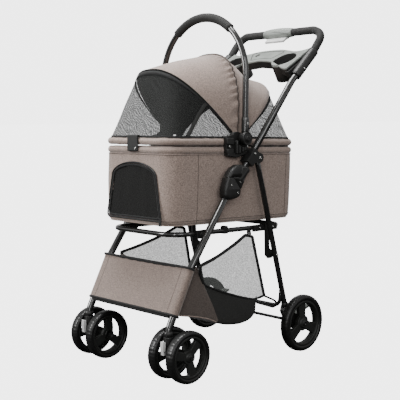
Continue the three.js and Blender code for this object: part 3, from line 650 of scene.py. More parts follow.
# name, place and size in metres, power in watts
LIGHTS = [
    ("key", (-1.7, -3.0, 2.0), (1.4, 1.4), 140),
    ("strip", (2.3, -2.6, 1.5), (0.22, 2.2), 34),
    ("fill", (3.0, -0.9, 1.9), (1.2, 1.6), 27),
    ("rim", (3.2, 1.9, 1.6), (0.25, 2.4), 5),
    ("top", (-0.4, -0.3, 3.2), (1.6, 1.6), 145),
]
LIT_POINT = Vector((0, 0, 0.55))


def make_lights():
    for name, place, size, power in LIGHTS:
        data = bpy.data.lights.new(name, "AREA")
        data.shape = "RECTANGLE"
        data.size, data.size_y = size
        data.energy = power
        light = bpy.data.objects.new(name, data)
        aim = (LIT_POINT - Vector(place)).to_track_quat("-Z", "Y").to_matrix().to_4x4()
        light.matrix_world = Matrix.Translation(place) @ aim
        bpy.context.scene.collection.objects.link(light)


def make_world():
    """A pale backdrop that the camera sees brighter than the soft light it gives."""
    world = bpy.data.worlds.new("studio")
    world.use_nodes = True
    tree = world.node_tree
    dim = tree.nodes["Background"]
    dim.inputs["Color"].default_value = (1, 1, 1, 1)
    dim.inputs["Strength"].default_value = AMBIENT
    bright = tree.nodes.new("ShaderNodeBackground")
    bright.inputs["Strength"].default_value = BACKDROP
    mix = tree.nodes.new("ShaderNodeMixShader")
    path = tree.nodes.new("ShaderNodeLightPath")
    tree.links.new(path.outputs["Is Camera Ray"], mix.inputs["Fac"])
    tree.links.new(dim.outputs[0], mix.inputs[1])
    tree.links.new(bright.outputs[0], mix.inputs[2])
    tree.links.new(mix.outputs[0], tree.nodes["World Output"].inputs["Surface"])
    bpy.context.scene.world = world


def make_floor():
    floor = Finish("floor", "grey_plastic", (0.10, 0.10, 0.10), 1.0, specular_ior_level=0.0)
    floor.shader.inputs["Emission Color"].default_value = (1, 1, 1, 1)
    seen = floor.add("ShaderNodeLightPath").outputs["Is Camera Ray"]
    floor.link(floor.math("MULTIPLY", seen, FLOOR_GLOW), floor.shader.inputs["Emission Strength"])
    floor.colour(floor.noise(3, 2), (0.2, (0.019, 0.019, 0.019)), (0.8, (0.021, 0.021, 0.021)))
    corners = [(-400, -400, 0), (400, -400, 0), (400, 400, 0), (-400, 400, 0)]
    mesh = bpy.data.meshes.new("floor")
    mesh.from_pydata(corners, [], [(0, 1, 2, 3)])
    mesh.materials.append(floor.material)
    ground = bpy.data.objects.new("floor", mesh)
    bpy.context.scene.collection.objects.link(ground)


# ------------------------------------------------------------------ wheels

REAR_WHEEL, FRONT_WHEEL = 90, 75
TREAD_ROWS = (3, 4, 5, 6, 7, 8)


def spoke_windows(radius, arm_angle):
    """Three openings between three wide arms, as loops around the hub."""
    windows = []
    for k in range(3):
        start, stop = arm_angle + k * 2 * math.pi / 3, arm_angle + (k + 1) * 2 * math.pi / 3
        points = []
        for reach, half_arm, order in ((0.70, 0.185, 1), (0.28, 0.148, -1)):
            margin = math.asin(half_arm / reach)
            for turn in np.linspace(start + margin, stop - margin, 12)[::order]:
                points.append((radius * reach * math.cos(turn), radius * reach * math.sin(turn)))
        windows.append(rounded_outline(points, radius * 0.07, 4))
    return windows


def both_ways(half, radius):
    """A closed profile from its half on one side, whose first numbers are shares of the radius."""
    half = [(share * radius, along) for share, along in half]
    return [(r, -along) for r, along in half] + half[::-1] + [(half[0][0], -half[0][1])]


def make_wheel(node, radius, arm_angle, body):
    centre = node_middle(node)
    outward = 1 if centre[0] > 0 else -1
    tyre = both_ways([(0.80, 12), (0.84, 15), (0.93, 14.5), (0.975, 12), (0.995, 8), (1, 3)], radius)

    def blocks(turn, row):
        return -0.6 * (np.sin(turn * 44) > 0.5) if row in TREAD_ROWS else 0 * turn

    lathe(node + "_tyre", tyre, centre, (1, 0, 0), TYRE, body, 192, replaces=[node], ripple=blocks)
    rim = both_ways([(0.71, 11), (0.73, 12.5), (0.80, 12.5), (0.815, 11)], radius)
    lathe(node + "_rim", rim, centre, (1, 0, 0), WHEEL, body, 72)
    holes = spoke_windows(radius, arm_angle)
    plate(node + "_spokes", [circle(0.735 * radius, 72), *holes], 6.5, WHEEL, body, side_on(*centre), 1.6)
    hub = [(0.19, -14.5), (0.20, -13), (0.20, 6), (0.15, 9), (0.13, 10.5), (0.12, 10), (0.11, 10),
           (0.09, 11.6), (0.03, 12)]
    hub = [(share * radius, along * outward) for share, along in hub]
    lathe(node + "_hub", hub, centre, (1, 0, 0), WHEEL, body, 40)


def make_wheels():
    for name, side in SIDES:
        make_wheel(f"rear_wheel_{name}", REAR_WHEEL, 1.66, f"rear_wheel_{name}")
        for place, turned in (("outer", 0), ("inner", 0.41)):
            wheel = f"front_wheel_{name}_{place}"
            make_wheel(wheel, FRONT_WHEEL, (0.79 if side > 0 else 1.05) + turned, wheel)


# ------------------------------------------------------------------ rear frame

REAR_FOOT, REAR_END_Z = (165.5, 135), 118
CROSSBAR_HALF, CROSSBAR, CROSSBAR_Z = 180, (146, 148), 200
AXLE_HALF = 236


def rear_leg_y(z):
    share = (REAR_TOP[1] - z) / (REAR_TOP[1] - REAR_FOOT[1])
    return REAR_TOP[0] + share * (REAR_FOOT[0] - REAR_TOP[0])


def make_rear_frame():
    for name, side in SIDES:
        leg = np.linspace(*(frame_x(side, rear_leg_y(z), z) for z in (REAR_END_Z, REAR_TOP[1] + 8)), 12)
        replaced = ["rear_frame"] if side > 0 else []
        tube(f"rear_leg_{name}", leg, REAR_TUBE, PAINT, "rear_frame", 28, replaces=replaced)
        dress(f"rear_hub_{name}", PLASTIC, 2.0)
        dress(f"brake_pedal_{name}", GREY, 1.6)
        end = (side * 203.2, *REAR_AXLE)
        screw(f"rear_hub_screw_{name}", (side * 200.4, 176, 118), side, "rear_frame", 4)
        washer = [(9, 0), (9, 1.6), (6, 2.2)]
        lathe(f"axle_washer_{name}", washer, end, (side, 0, 0), STEEL, "rear_frame", 32)
        collar = [(8.6, -9), (10.4, -8), (10.6, 0), (10.4, 8), (8.6, 9)]
        lathe(f"rear_leg_collar_{name}", collar, frame_x(side, rear_leg_y(150), 150),
              (0, rear_leg_y(200) - rear_leg_y(100), 100), PLASTIC, "rear_frame", 32)
    corners = [(CROSSBAR_HALF + 4, rear_leg_y(CROSSBAR_Z), CROSSBAR_Z), (CROSSBAR_HALF, *CROSSBAR)]
    corners += [(-x, y, z) for x, y, z in corners[::-1]]
    tube("rear_crossbar", bent(corners, 30, 14), 6, PAINT, "rear_frame", 20)
    axle = np.linspace((-AXLE_HALF, *REAR_AXLE), (AXLE_HALF, *REAR_AXLE), 9)
    tube("rear_axle_bar", axle, 5, PAINT, "rear_frame", 20, replaces=["rear_axle"])


# ------------------------------------------------------------------ front frame

LEG = [(STEM_Y, 112), (STEM_Y, 150), (-245, 308), (-97, 513)]
PANEL_BOTTOM, PANEL_TOP = 186, 318


def leg_y(z):
    return np.interp(z, [LEG[1][1], LEG[2][1]], [LEG[1][0], LEG[2][0]])


KNUCKLE = [(-115, 512), (-113, 536), (-102, 566), (-82, 591), (-58, 603), (-34, 602), (-13, 592), (-20, 572),
           (-38, 541), (-46, 526), (-50, 511), (-61, 505), (-82, 501), (-102, 502)]
KNUCKLE_HALF, KNUCKLE_EDGE = 15.5, 8.5
PARTING, PARTING_GAP = (-82, 566), 1.7


def cut_flat(shape, point, normal):
    """Keeps what lies behind a plane through (y, z), and closes the cut."""
    geometry = shape.verts[:] + shape.edges[:] + shape.faces[:]
    result = bmesh.ops.bisect_plane(shape, geom=geometry, plane_co=(0, *metres(point)),
                                    plane_no=(0, *normal), clear_outer=True)
    rim = [item for item in result["geom_cut"] if isinstance(item, bmesh.types.BMEdge)]
    bmesh.ops.holes_fill(shape, edges=rim, sides=0)


def make_knuckle(name, side):
    """The folding knuckle: one rounded shell, parted by a line that steps down around the hinge."""
    outline = rounded_outline(KNUCKLE, 9, 6)
    where = side_on(side * FRAME_X)
    level, slope = unit([0.09, 1.0]), unit([0.80, 0.60])
    turn = np.array([slope[1], -slope[0]])
    step = np.array(PARTING) + slope * 4
    above = np.array(PARTING) + level * PARTING_GAP
    parts = [("lower", "front_frame", [(PARTING, level), (step - slope * PARTING_GAP, slope)]),
             ("upper_top", "upper_frame", [(above, -level)]),
             ("upper_lug", "upper_frame", [(above, level), (step, -slope), (FOLD - turn * 2, turn)])]
    for label, body, planes in parts:
        stands_for = {"lower": ["lower_knuckle"], "upper_top": ["upper_knuckle"]}.get(label, [])
        replaces = [f"{node}_{name}" for node in stands_for]
        piece = plate(f"knuckle_{label}_{name}", [outline], KNUCKLE_HALF, PLASTIC, body, where, KNUCKLE_EDGE,
                      replaces)
        with reshaped(piece) as shape:
            bmesh.ops.remove_doubles(shape, verts=shape.verts, dist=0.01 * MM)
            for point, normal in planes:
                cut_flat(shape, point, normal)
    mouth = [(-44, 596), (-20, 594), (-36, 566), (-48, 574)]
    plate(f"knuckle_mouth_{name}", [rounded_outline(mouth, 5)], KNUCKLE_HALF + 0.4, WELL, "upper_frame",
          where, 1.5)
    sleeve = np.linspace(frame_x(side, -52, 556), frame_x(side, -16, 590), 8) + np.array([side * 4.5, 0, 0])
    tube(f"knuckle_sleeve_{name}", sleeve, 12.5, PLASTIC, "upper_frame", 24)


def make_front_frame():
    for name, side in SIDES:
        path = bent([frame_x(side, y, z) for y, z in LEG], 70, 14)
        tube(f"front_leg_tube_{name}", path, TUBE, PAINT, "front_frame", 28, replaces=[f"front_leg_{name}"])
        make_knuckle(name, side)
        dress(f"caster_housing_{name}", PLASTIC, 2.0)
        dress(f"caster_fork_{name}", PLASTIC, 1.8)
        dress(f"swivel_lock_{name}", WHITE, 1.4)
        out = side * (FRAME_X + 14)
        for k, (y, z, body) in enumerate([(*FOLD, "upper_frame"), (-88, 545, "front_frame"),
                                          (-52, 552, "upper_frame")]):
            screw(f"knuckle_screw_{k}_{name}", (out, y, z), side, body, 4.4 if k == 0 else 3.4)
            screw(f"knuckle_rivet_{k}_{name}", (side * (FRAME_X - 14), y, z), -side, body, 3.6)
        collar = [(10.3, -8), (12.6, -7), (12.9, 0), (12.6, 7), (10.3, 8)]
        lathe(f"stem_collar_{name}", collar, frame_x(side, STEM_Y, 141), (0, 0, 1), PLASTIC,
              "front_frame", 32)
        screw(f"swivel_pin_{name}", (side * (FRAME_X + 6.4), -345.5, 96), side, f"swivel_lock_{name}", 2.4)
    bars = (("panel_bar_lower", PANEL_BOTTOM + 1), ("panel_bar_upper", PANEL_TOP - 1))
    for k, (node, z) in enumerate(bars):
        reach = FRAME_X - TUBE
        bar = np.linspace((-reach, leg_y(z) - 6, z), (reach, leg_y(z) - 6, z), 40)
        tube(f"panel_bar_{k}", bar, 5.4, WEBBING, "front_frame", 20, replaces=[node], lumps=0.5)


def panel_rows():
    """The front panel: it wraps round both legs and sags a little between them."""
    rise = unit([leg_y(PANEL_TOP) - leg_y(PANEL_BOTTOM), PANEL_TOP - PANEL_BOTTOM])
    wrap, inner = TUBE + 2.4, FRAME_X - 6
    turns = np.linspace(0.42, -0.5, 12) * math.pi
    section = [(-inner, wrap * 0.9)]
    section += [(-FRAME_X - wrap * math.cos(turn), wrap * math.sin(turn)) for turn in turns]
    section += [(x, -wrap) for x in np.linspace(-inner, inner, 90)]
    section += [(FRAME_X + wrap * math.cos(turn), wrap * math.sin(turn)) for turn in turns[::-1]]
    section.append((inner, wrap * 0.9))

    def point(share, place):
        x, depth = place
        z = PANEL_BOTTOM + (PANEL_TOP - PANEL_BOTTOM) * share
        across = max(0.0, 1 - (x / (FRAME_X - 4)) ** 2)
        sag = 4.5 * math.sin(math.pi * share) ** 0.8 + 3.0 * math.exp(-((1 - share) / 0.09) ** 2)
        crease = 0.9 * noise.noise(Vector((x * 0.012, share * 5, 3))) * min(1, across * 3)
        tension = 0.8 * math.sin(x * 0.16 + 6 * share) * math.exp(-((1 - share) / 0.16) ** 2)
        back = depth + crease + (sag + tension) * across
        return x, leg_y(z) + rise[1] * back, z - rise[0] * back

    return table(point, np.linspace(0, 1, 48), section)


def make_front_panel():
    rows = panel_rows()
    # the panel wears the brown linen painted darker as shade
    panel = grid_piece("front_panel_cloth", rows, PANEL_LINEN_PAINTED_SHADE, "front_frame", replaces=["front_panel"])
    thicken(panel, CLOTH_THICKNESS)
    declare_cut(rows)
    for k, row in enumerate((rows[1], rows[-2])):
        tube(f"panel_hem_{k}", row[1:-1], 3.6, WEBBING, "front_frame", 10)
    for name, side in SIDES:
        x = side * (FRAME_X - 17)
        column = int(np.argmin(np.abs(rows[0][:, 0] - x)))
        tube(f"panel_seam_{name}", rows[:, column] + np.array([0, -1.0, 0]), 0.7, SEAM, "front_frame", 8)


# ------------------------------------------------------------------ handle frame

HANDLE_BEND, HANDLE_CORNER_X = 42, 150


def handle_half(side):
    return [frame_x(side, y, z) for y, z in HANDLE] + [(side * HANDLE_CORNER_X, *BAR)]


def housing_radius(x):
    return 14.0 + 4.2 * max(0.0, math.cos(x / HOUSING_HALF * math.pi / 2)) ** 0.8


def make_handle():
    corners = handle_half(1) + handle_half(-1)[::-1]
    path = bent(corners, HANDLE_BEND, 12)
    tube("handle_bar", path, TUBE, PAINT, "upper_frame", 28, replaces=["handle_tube"])
    for name, side in SIDES:
        points = [np.array(p, float) for p in handle_half(side)[2:]]
        start = points[0] + 0.13 * (np.array(frame_x(side, *HANDLE[1])) - points[0])
        end = np.array([side * (HOUSING_HALF + 0.5), *BAR])
        path = evenly(bent([start, *points[1:], end], HANDLE_BEND, 12), 60)
        tube(f"foam_sleeve_{name}", path, 13, FOAM, "upper_frame", 28, replaces=[f"foam_grip_{name}"],
             lumps=0.25)
        dress(f"frame_bracket_{name}", PLASTIC, 4.0)
        out = side * (FRAME_X + 16.6)
        screw(f"bracket_pin_{name}", (out, *REAR_TOP), side, "upper_frame", 5)
        screw(f"bracket_screw_{name}", (out, 10, 634), side, "upper_frame", 4)
        screw(f"bracket_bolt_{name}", (side * (FRAME_X - 16.6), *REAR_TOP), -side, "upper_frame", 5)
    ends = [(11, HOUSING_HALF), (13.4, HOUSING_HALF), (14.0, HOUSING_HALF - 1.5)]
    profile = [(radius, -x) for radius, x in ends]
    profile += [(housing_radius(x), x) for x in np.linspace(-0.92, 0.92, 15) * HOUSING_HALF]
    profile += ends[::-1]
    lathe("housing_shell", profile, (0, *BAR), (1, 0, 0), GREY, "upper_frame", 56,
          replaces=["release_housing"])
    seam = []
    for share in np.linspace(0, 1, 40):
        x = HOUSING_HALF * (0.9 - 1.15 * share)
        turn = math.radians(96 - 40 * (1 - share) ** 2 + 14 * share)
        radius = housing_radius(x) - 0.1
        seam.append((x, BAR[0] - radius * math.sin(turn), BAR[1] - radius * math.cos(turn)))
    tube("housing_seam", seam, 0.7, PLASTIC, "upper_frame", 8)
    dress("release_trigger", WHITE, 1.6)


def tray_matrix():
    return Matrix.Translation(Vector((0, *TRAY)) * MM) @ Matrix.Rotation(TRAY_TILT, 4, "X")


def tray_place(points):
    return tipped(np.asarray(points) + [0, *TRAY], TRAY, TRAY_TILT)


def mirrored(half):
    """An outline from half of it, from its rear middle to its front middle."""
    return half + [(-x, y) for x, y in half[-2:0:-1]]


TRAY_OUTLINE = mirrored([(0, 79), (50, 77), (85, 65), (118, 54), (147, 58), (171, 72), (172, -72),
                         (150, -64), (110, -38), (60, -8), (0, 5)])
LID = mirrored([(0, 66), (62, 62), (70, 54), (45, 11), (38, 11), (0, 19)])
LID_RECESS = (-42, 46)


def make_tray():
    outline = rounded_outline(TRAY_OUTLINE, 26, 10)
    wells = [circle(CUP_RADIUS, 64) + np.array([x, 0]) for x in (-CUP_X, CUP_X)]
    lid_hole = rounded_outline([(x * 1.02, y * 1.03 - 0.9) for x, y in LID], 11)
    plate("tray_shell", [outline, *wells, lid_hole], 3, GREY, "upper_frame", tray_matrix(), 1.2,
          replaces=["tray_top"])
    groove = [(x, y, 2.6) for x, y in rounded_outline([(x * 1.01, y * 1.015 - 0.5) for x, y in LID], 10.5)]
    tube("lid_groove", groove, 1.1, PLASTIC, "upper_frame", 8, closed=True, place=tray_place)
    finger = circle(9, 40) + np.array(LID_RECESS)
    plate("lid_shell", [rounded_outline(LID, 10), finger], 2.7, GREY, "tray_lid", tray_matrix(), 0.9,
          replaces=["tray_lid"])
    cup = [(9.6, 1.5), (9.3, -1), (8, -2), (0.2, -2.2)]
    lathe("lid_finger_cup", cup, (*LID_RECESS, 0), (0, 0, 1), PLASTIC, "tray_lid", 40, place=tray_place)
    dress("tray_body", PLASTIC, 1.6)
    low, high = np.array(HANDLE[1:3], float)
    clamp = [low + unit(high - low) * reach for reach in (21, 141)]
    for name, side in SIDES:
        sleeve = np.linspace(*(frame_x(side, *end) for end in clamp), 16)
        tube(f"clamp_sleeve_{name}", sleeve, 16.4, PLASTIC, "upper_frame", 32)
    wall = [(0.7, 2.7), (1.0, 1.2), (1.6, -8), (3, -30), (5, 8 - CUP_DEPTH), (9, 4.8 - CUP_DEPTH),
            (CUP_RADIUS - 2, 4.4 - CUP_DEPTH)]
    wall = [(CUP_RADIUS - inward, up) for inward, up in wall]
    for name, side in SIDES:
        liner = lathe(f"cup_liner_{name}", wall, (side * CUP_X, 0, 0), (0, 0, 1), WELL, "upper_frame", 64,
                      place=tray_place)
        open_mouth(liner)
        screw(f"clamp_screw_{name}", (side * (FRAME_X + 15.4), 236, 894), side, "upper_frame", 3.6)


def open_mouth(piece):
    """Takes the cap off a turned cup and gives its wall a thickness."""
    with reshaped(piece) as shape:
        largest = max(shape.faces, key=lambda face: (len(face.verts) > 8) * face.calc_area())
        bmesh.ops.delete(shape, geom=[largest], context="FACES_ONLY")
    thicken(piece, 0.8)


# ------------------------------------------------------------------ seat ring

def ring_z(y):
    return 404 - 0.017 * (y + 35)


def make_ring():
    loop = rounded_loop(RING["half"], RING["front"], RING["rear"], RING["corner"], 0, 24, 16, 12)
    loop[:, 2] = ring_z(loop[:, 1])
    tube("seat_ring_tube", loop, RING_RADIUS, PAINT, "seat_ring", 24, closed=True, replaces=["seat_ring"])
    for name, side in SIDES:
        dress(f"ring_link_{name}", PLASTIC, 2.0)
        dress(f"ring_bracket_{name}", PLASTIC, 2.0)
        for place, y in (("front", -68), ("rear", 120)):
            section = rounded_outline([(-9, -9), (9, -9), (9, 13), (5, 15), (-5, 15), (-9, 13)], 3)
            where = side_on(side * RING["half"], y, ring_z(y))
            plate(f"saddle_{place}_{name}", [section], 8, PLASTIC, "seat_ring", where, 1.4)
        screw(f"link_pin_{name}", (side * (FRAME_X + 8.2), *LINK), side, "rear_frame", 4.4)
        screw(f"ring_screw_{name}", (side * 166, 70, ring_z(70)), side, "seat_ring", 3.4)
        screw(f"ring_rivet_{name}", (side * 166, 130, ring_z(130)), side, "seat_ring", 3.4)


# ------------------------------------------------------------------ basket under the seat

BASKET_FLOOR = [(-291, 186), (-252, 176), (-200, 164), (-150, 150), (-99, 128), (-50, 116), (0, 112),
                (34, 119), (52, 137), (55, 160), (56, 181)]
BASKET_EDGE = [(-291, 192), (-262, 262), (-244, 306), (-196, 312), (-172, 262), (-148, 247), (-60, 213),
               (20, 188), (44, 182), (54, 181), (57, 183)]


def make_basket():
    """A cloth trough: floor and turned-up sides, with its end sewn up behind."""
    floor = evenly(smooth_curve(BASKET_FLOOR, 6), 70)
    edge = evenly(smooth_curve(BASKET_EDGE, 6), 70)
    turns = np.linspace(0.15, 1, 5) * math.pi / 2
    rows = []
    for (y, z), (top_y, top_z) in zip(floor, edge):
        inner = 168 - 6 * np.clip((y + 200) / 150, 0, 1)
        base = inner - 12
        left = [(inner + 2 * math.sin(math.pi * t), top_y + (y - top_y) * t, top_z + (z + 10 - top_z) * t)
                for t in np.linspace(0, 1, 10)]
        left += [(base + 12 * math.cos(turn), y, z + 10 - 10 * math.sin(turn)) for turn in turns]
        middle = [(x, y, z) for x in np.linspace(base, -base, 36)[1:-1]]
        rows.append(left + middle + [(-x, yy, zz) for x, yy, zz in left[::-1]])
    rows = np.array(rows)
    for point in rows.reshape(-1, 3):
        sag = 3.0 * max(0.0, 1.0 - (point[0] / 175) ** 2)
        point[2] += 1.4 * noise.noise(Vector(point) * 0.02) - sag
        point[0] += 1.6 * noise.noise(Vector(point) * 0.03 + Vector((7, 1, 2)))
    trough = grid_piece("basket_trough", rows, CLOTH, "front_frame", replaces=["basket"])
    front = np.searchsorted(floor[:, 0], -112)
    # the trough's front part, ahead of y = -112, is brown linen whose darkness is painted shade
    trough.data.materials.append(LINEN_PAINTED_SHADE)
    columns = rows.shape[1]
    for polygon in trough.data.polygons:
        polygon.material_index = 1 if polygon.vertices[0] // columns < front else 0
    thicken(trough, CLOTH_THICKNESS)
    fold_away(trough)
    declare_cut(rows)
    for name, side in SIDES:
        line = rows[:front, 12 if side > 0 else columns - 13] + np.array([side * 0.8, 0, 0])
        fold_away(tube(f"basket_hem_{name}", line, 2.6, LINEN, "front_frame", 10))
        make_net(name, side)


def fold_away(piece):
    """Gives a piece of basket cloth its own copy of its mesh."""
    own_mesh(piece)


NET_TOP = [(186, -200, 318), (178, -130, 334), (166, -50, 358), (158, 14, 384)]
NET_REAR = [(157, 46, 376), (161, 66, 290), (166, 90, 186)]
NET_BOTTOM = [(167, -172, 262), (166, -148, 247), (165, -60, 213), (164, 20, 188), (165, 56, 182),
              (166, 90, 186)]
NET_FRONT = [(186, -200, 318), (172, -188, 290), (167, -172, 262)]
REAR_LOOP = [(160, 57, 180), (162, 92, 186), (158, 138, 166), (158, 152, 158), (158, 152, 144),
             (158, 138, 142), (161, 62, 168)]
HANGER = [(158, 26, 378), (158, 24, 396), (158, 34, 396), (158, 36, 378)]


def make_net(name, side):
    flip = np.array([side, 1, 1])
    top = evenly(np.vstack([smooth_curve(NET_TOP, 8), NET_REAR[0]]), 44) * flip
    bottom = evenly(smooth_curve(NET_BOTTOM, 8), 44) * flip
    rear, front = (evenly(line, 30) * flip for line in (NET_REAR, NET_FRONT))

    def point(down, back):
        """The patch between four edges, drawn in a little at its middle."""
        (i, v), (j, u) = down, back
        edges = (1 - v) * top[j] + v * bottom[j] + (1 - u) * front[i] + u * rear[i]
        corners = ((1 - u) * (1 - v) * top[0] + u * (1 - v) * top[-1]
                   + (1 - u) * v * bottom[0] + u * v * bottom[-1])
        return edges - corners - [side * 5 * math.sin(math.pi * u) * math.sin(math.pi * v), 0, 0]

    rows = table(point, list(enumerate(np.linspace(0, 1, 30))), list(enumerate(np.linspace(0, 1, 44))))
    net = grid_piece(f"basket_net_{name}", rows, BASKET_NET, "front_frame")
    thicken(net, NET_THICKNESS)
    fold_away(net)
    declare_cut(rows)
    for label, line in (("top", top), ("rear", rear), ("front", front)):
        fold_away(tube(f"net_binding_{label}_{name}", line, 4.8, WEBBING, "front_frame", 12, lumps=0.7))
    fold_away(tube(f"net_binding_low_{name}", bottom, 2.8, WEBBING, "front_frame", 12, lumps=0.5))
    hanger = bent(np.array(HANGER) * flip, 4, 5)
    normals = np.tile([side, 0, 0], (len(hanger), 1))
    fold_away(strip(f"hanger_loop_{name}", hanger, normals, 9, WEBBING, "front_frame"))
    loop = bent(np.array(REAR_LOOP) * flip, 6, 6)
    fold_away(tube(f"rear_loop_{name}", loop, 3.4, WEBBING, "front_frame", 12, lumps=0.6))


# ------------------------------------------------------------------ carrier

TUB_LEVELS = [428, 436, 632, 642]
TUB_SIZES = {"half": [150, 158, 161, 156], "front": [-282, -290, -289, -285], "rear": [240, 248, 251, 246],
             "corner": [50, 56, 56, 53]}
DOOR = {"bottom": 445, "shoulder": 566, "top": 603, "bottom_half": 122, "shoulder_half": 98}


def tub_loop(z, grow):
    size = {key: float(np.interp(z, TUB_LEVELS, values)) for key, values in TUB_SIZES.items()}
    return rounded_loop(size["half"] + grow, size["front"] - grow, size["rear"] + grow,
                        size["corner"] + grow, z)


def tub_push(x, y, z):
    """How far soft cloth stands off its straight wall: a belly, and creases that run down from the rim."""
    height = (z - TUB_LEVELS[0]) / (TUB_LEVELS[-1] - TUB_LEVELS[0])
    swell = math.sin(math.pi * min(1, max(0, height)))
    run = y if abs(x) > 150 else x + 400
    gathers = 1.5 * math.exp(-((1 - height) / 0.34) ** 2) * noise.noise(Vector((run * 0.055, z * 0.008, 2)))
    soft = 2.4 * noise.noise(Vector((run * 0.010, z * 0.012, 5)))
    soft += 0.5 * noise.noise(Vector((run * 0.04, z * 0.04, 9)))
    return (2.0 + soft) * swell + gathers


def tub_row(z, grow=0.0):
    row = tub_loop(z, grow)
    tangent = np.roll(row, -1, axis=0) - np.roll(row, 1, axis=0)
    normal = unit(np.stack([tangent[:, 1], -tangent[:, 0], np.zeros(len(row))], axis=1))
    push = np.array([tub_push(*point) for point in row])
    front = np.exp(-((row[:, 1] + 290) / 12) ** 2)
    return row + normal * (push * (1 - 0.75 * front))[:, None]


def door_outline(grow):
    half, bottom = DOOR["bottom_half"] + grow, DOOR["bottom"] - grow
    points = [(-half, bottom), (half, bottom)]
    for turn in np.linspace(0, math.pi, 24):
        points.append(((DOOR["shoulder_half"] + grow) * math.cos(turn),
                       DOOR["shoulder"] + (DOOR["top"] + grow - DOOR["shoulder"]) * math.sin(turn)))
    return rounded_outline(points, 14, 5)


def crossings(outline, z):
    """Where a level line through a closed outline crosses it."""
    return [x0 + (x1 - x0) * (z - z0) / (z1 - z0)
            for (x0, z0), (x1, z1) in zip(outline, np.roll(outline, -1, axis=0)) if (z0 > z) != (z1 > z)]


def inside(outline, x, z):
    return sum(x < crossing for crossing in crossings(outline, z)) % 2 == 1


def make_tub():
    levels = [428, 428.6, 430, 432.5, 436, *np.linspace(441, 632, 44), 637, 642]
    rows = np.array([tub_row(z) for z in levels])
    columns = rows.shape[1]
    hole = door_outline(-6)
    faces = []
    for face in grid_faces(len(rows), columns, False, True):
        middle = rows.reshape(-1, 3)[list(face)].mean(axis=0)
        if not (middle[1] < -280 and inside(hole, middle[0], middle[2])):
            faces.append(face)
    faces.append(tuple(range(columns - 1, -1, -1)))
    tub = piece_from("carrier_bag", leaned(rows).reshape(-1, 3), faces, LINEN, "carrier", ["carrier_tub"])
    thicken(tub, 2.2, -1.0, CLOTH)
    for label, z, grow, radius, cloth in (("hem", 441.5, 0.4, 0.9, SEAM), ("base", 429.5, 0.4, 2.0, LINEN),
                                          ("top_seam", 631, 0.8, 0.9, SEAM)):
        tube(f"bag_{label}", tub_row(z, grow), radius, cloth, "carrier", 8, closed=True)
    for name, side in SIDES:
        for label, seam_y in (("front", -186), ("rear", 196)):
            path = []
            for z in np.linspace(432, 632, 40):
                row = tub_row(z, 0.2)
                path.append(row[np.argmin(np.hypot(row[:, 1] - seam_y, row[:, 0] - side * 161))])
            tube(f"bag_seam_{label}_{name}", path, 0.8, SEAM, "carrier", 8)


def outline_3d(grow, y):
    return np.array([(x, y, z) for x, z in door_outline(grow)])


def band_between(name, inner, outer, body, crown):
    """A closed band of webbing between two matching loops, with a soft crown."""
    rows = []
    for share in np.linspace(0, 1, 6):
        row = inner + (outer - inner) * share
        row[:, 1] -= crown * math.sin(math.pi * share)
        rows.append(row)
    thicken(grid_piece(name, rows, WEBBING, body, wrap_columns=True), 0.8)


def make_door():
    band_between("door_zip_tape", outline_3d(1.0, -292.2), outline_3d(6.5, -291.6), "carrier", 1.0)
    tube("door_zip", outline_3d(4.2, -293.4), 1.4, PLASTIC, "carrier", 10, closed=True)
    band_between("door_border", outline_3d(-6, -292.0), outline_3d(0.0, -292.0), "door_flap", 0.9)
    outline = door_outline(-4)
    rows = []
    for z in np.linspace(DOOR["bottom"] + 4, DOOR["top"] - 4, 40):
        half = max(crossings(outline, z), default=4.0)
        row = []
        for share in np.linspace(-1, 1, 50):
            x = half * share
            fold = math.sin(x * 0.09 + 2 * noise.noise(Vector((x * 0.02, z * 0.01, 1)))) * (1 - share ** 4)
            row.append((x, -290.0 + 1.08 * fold, z))
        rows.append(row)
    panel = grid_piece("door_net", rows, DOOR_NET, "door_flap", replaces=["door_flap"])
    thicken(panel, NET_THICKNESS)
    declare_cut(rows)
    corner = DOOR["bottom_half"]
    tab = evenly([(corner + 1, -293.5, 452), (corner + 1.5, -294.5, 440), (corner + 2, -294, 428)], 12)
    strip("door_tab", tab, np.tile([0.0, -1.0, 0.0], (12, 1)), 11, WEBBING, "carrier")


def rim_path(z, half_grow=0.0):
    return rounded_loop(RIM["half"] + half_grow, RIM["front"] - half_grow, RIM["rear"] + half_grow,
                        RIM["corner"] + half_grow, z, 90, 50, 16)


def make_rims():
    for label, z in (("lower", LOWER_RIM), ("upper", UPPER_RIM)):
        tube(f"{label}_rim_sleeve", rim_path(z), RIM_RADIUS, LINEN, "carrier", 24, closed=True,
             replaces=[f"{label}_rim"], lumps=0.9)
        seam_z = z - RIM_RADIUS * 0.86 if label == "lower" else z + RIM_RADIUS * 0.9
        tube(f"{label}_rim_seam", rim_path(seam_z, RIM_RADIUS * 0.5), 0.8, SEAM, "carrier", 8, closed=True)
    start, middle_z = -70, (LOWER_RIM + UPPER_RIM) / 2
    loop = rim_path(0)
    loop = loop[np.argsort(np.arctan2(loop[:, 0], loop[:, 1] - start))]
    rear_run = loop[loop[:, 1] > start]
    normals = unit(rear_run - [0, start, 0])
    rear_run[:, 2] = middle_z
    strip("rim_zip_tape", rear_run, normals, 9, WEBBING, "carrier", lift=0.4)
    dress("front_clip", PLASTIC, 3.5)
    head = [(3.6, 0), (3.4, 1.4), (2.2, 2), (0.3, 1.2)]
    lathe("front_clip_screw", head, (15, -299, 648), (0, -1, 0), STEEL, "carrier", 24)


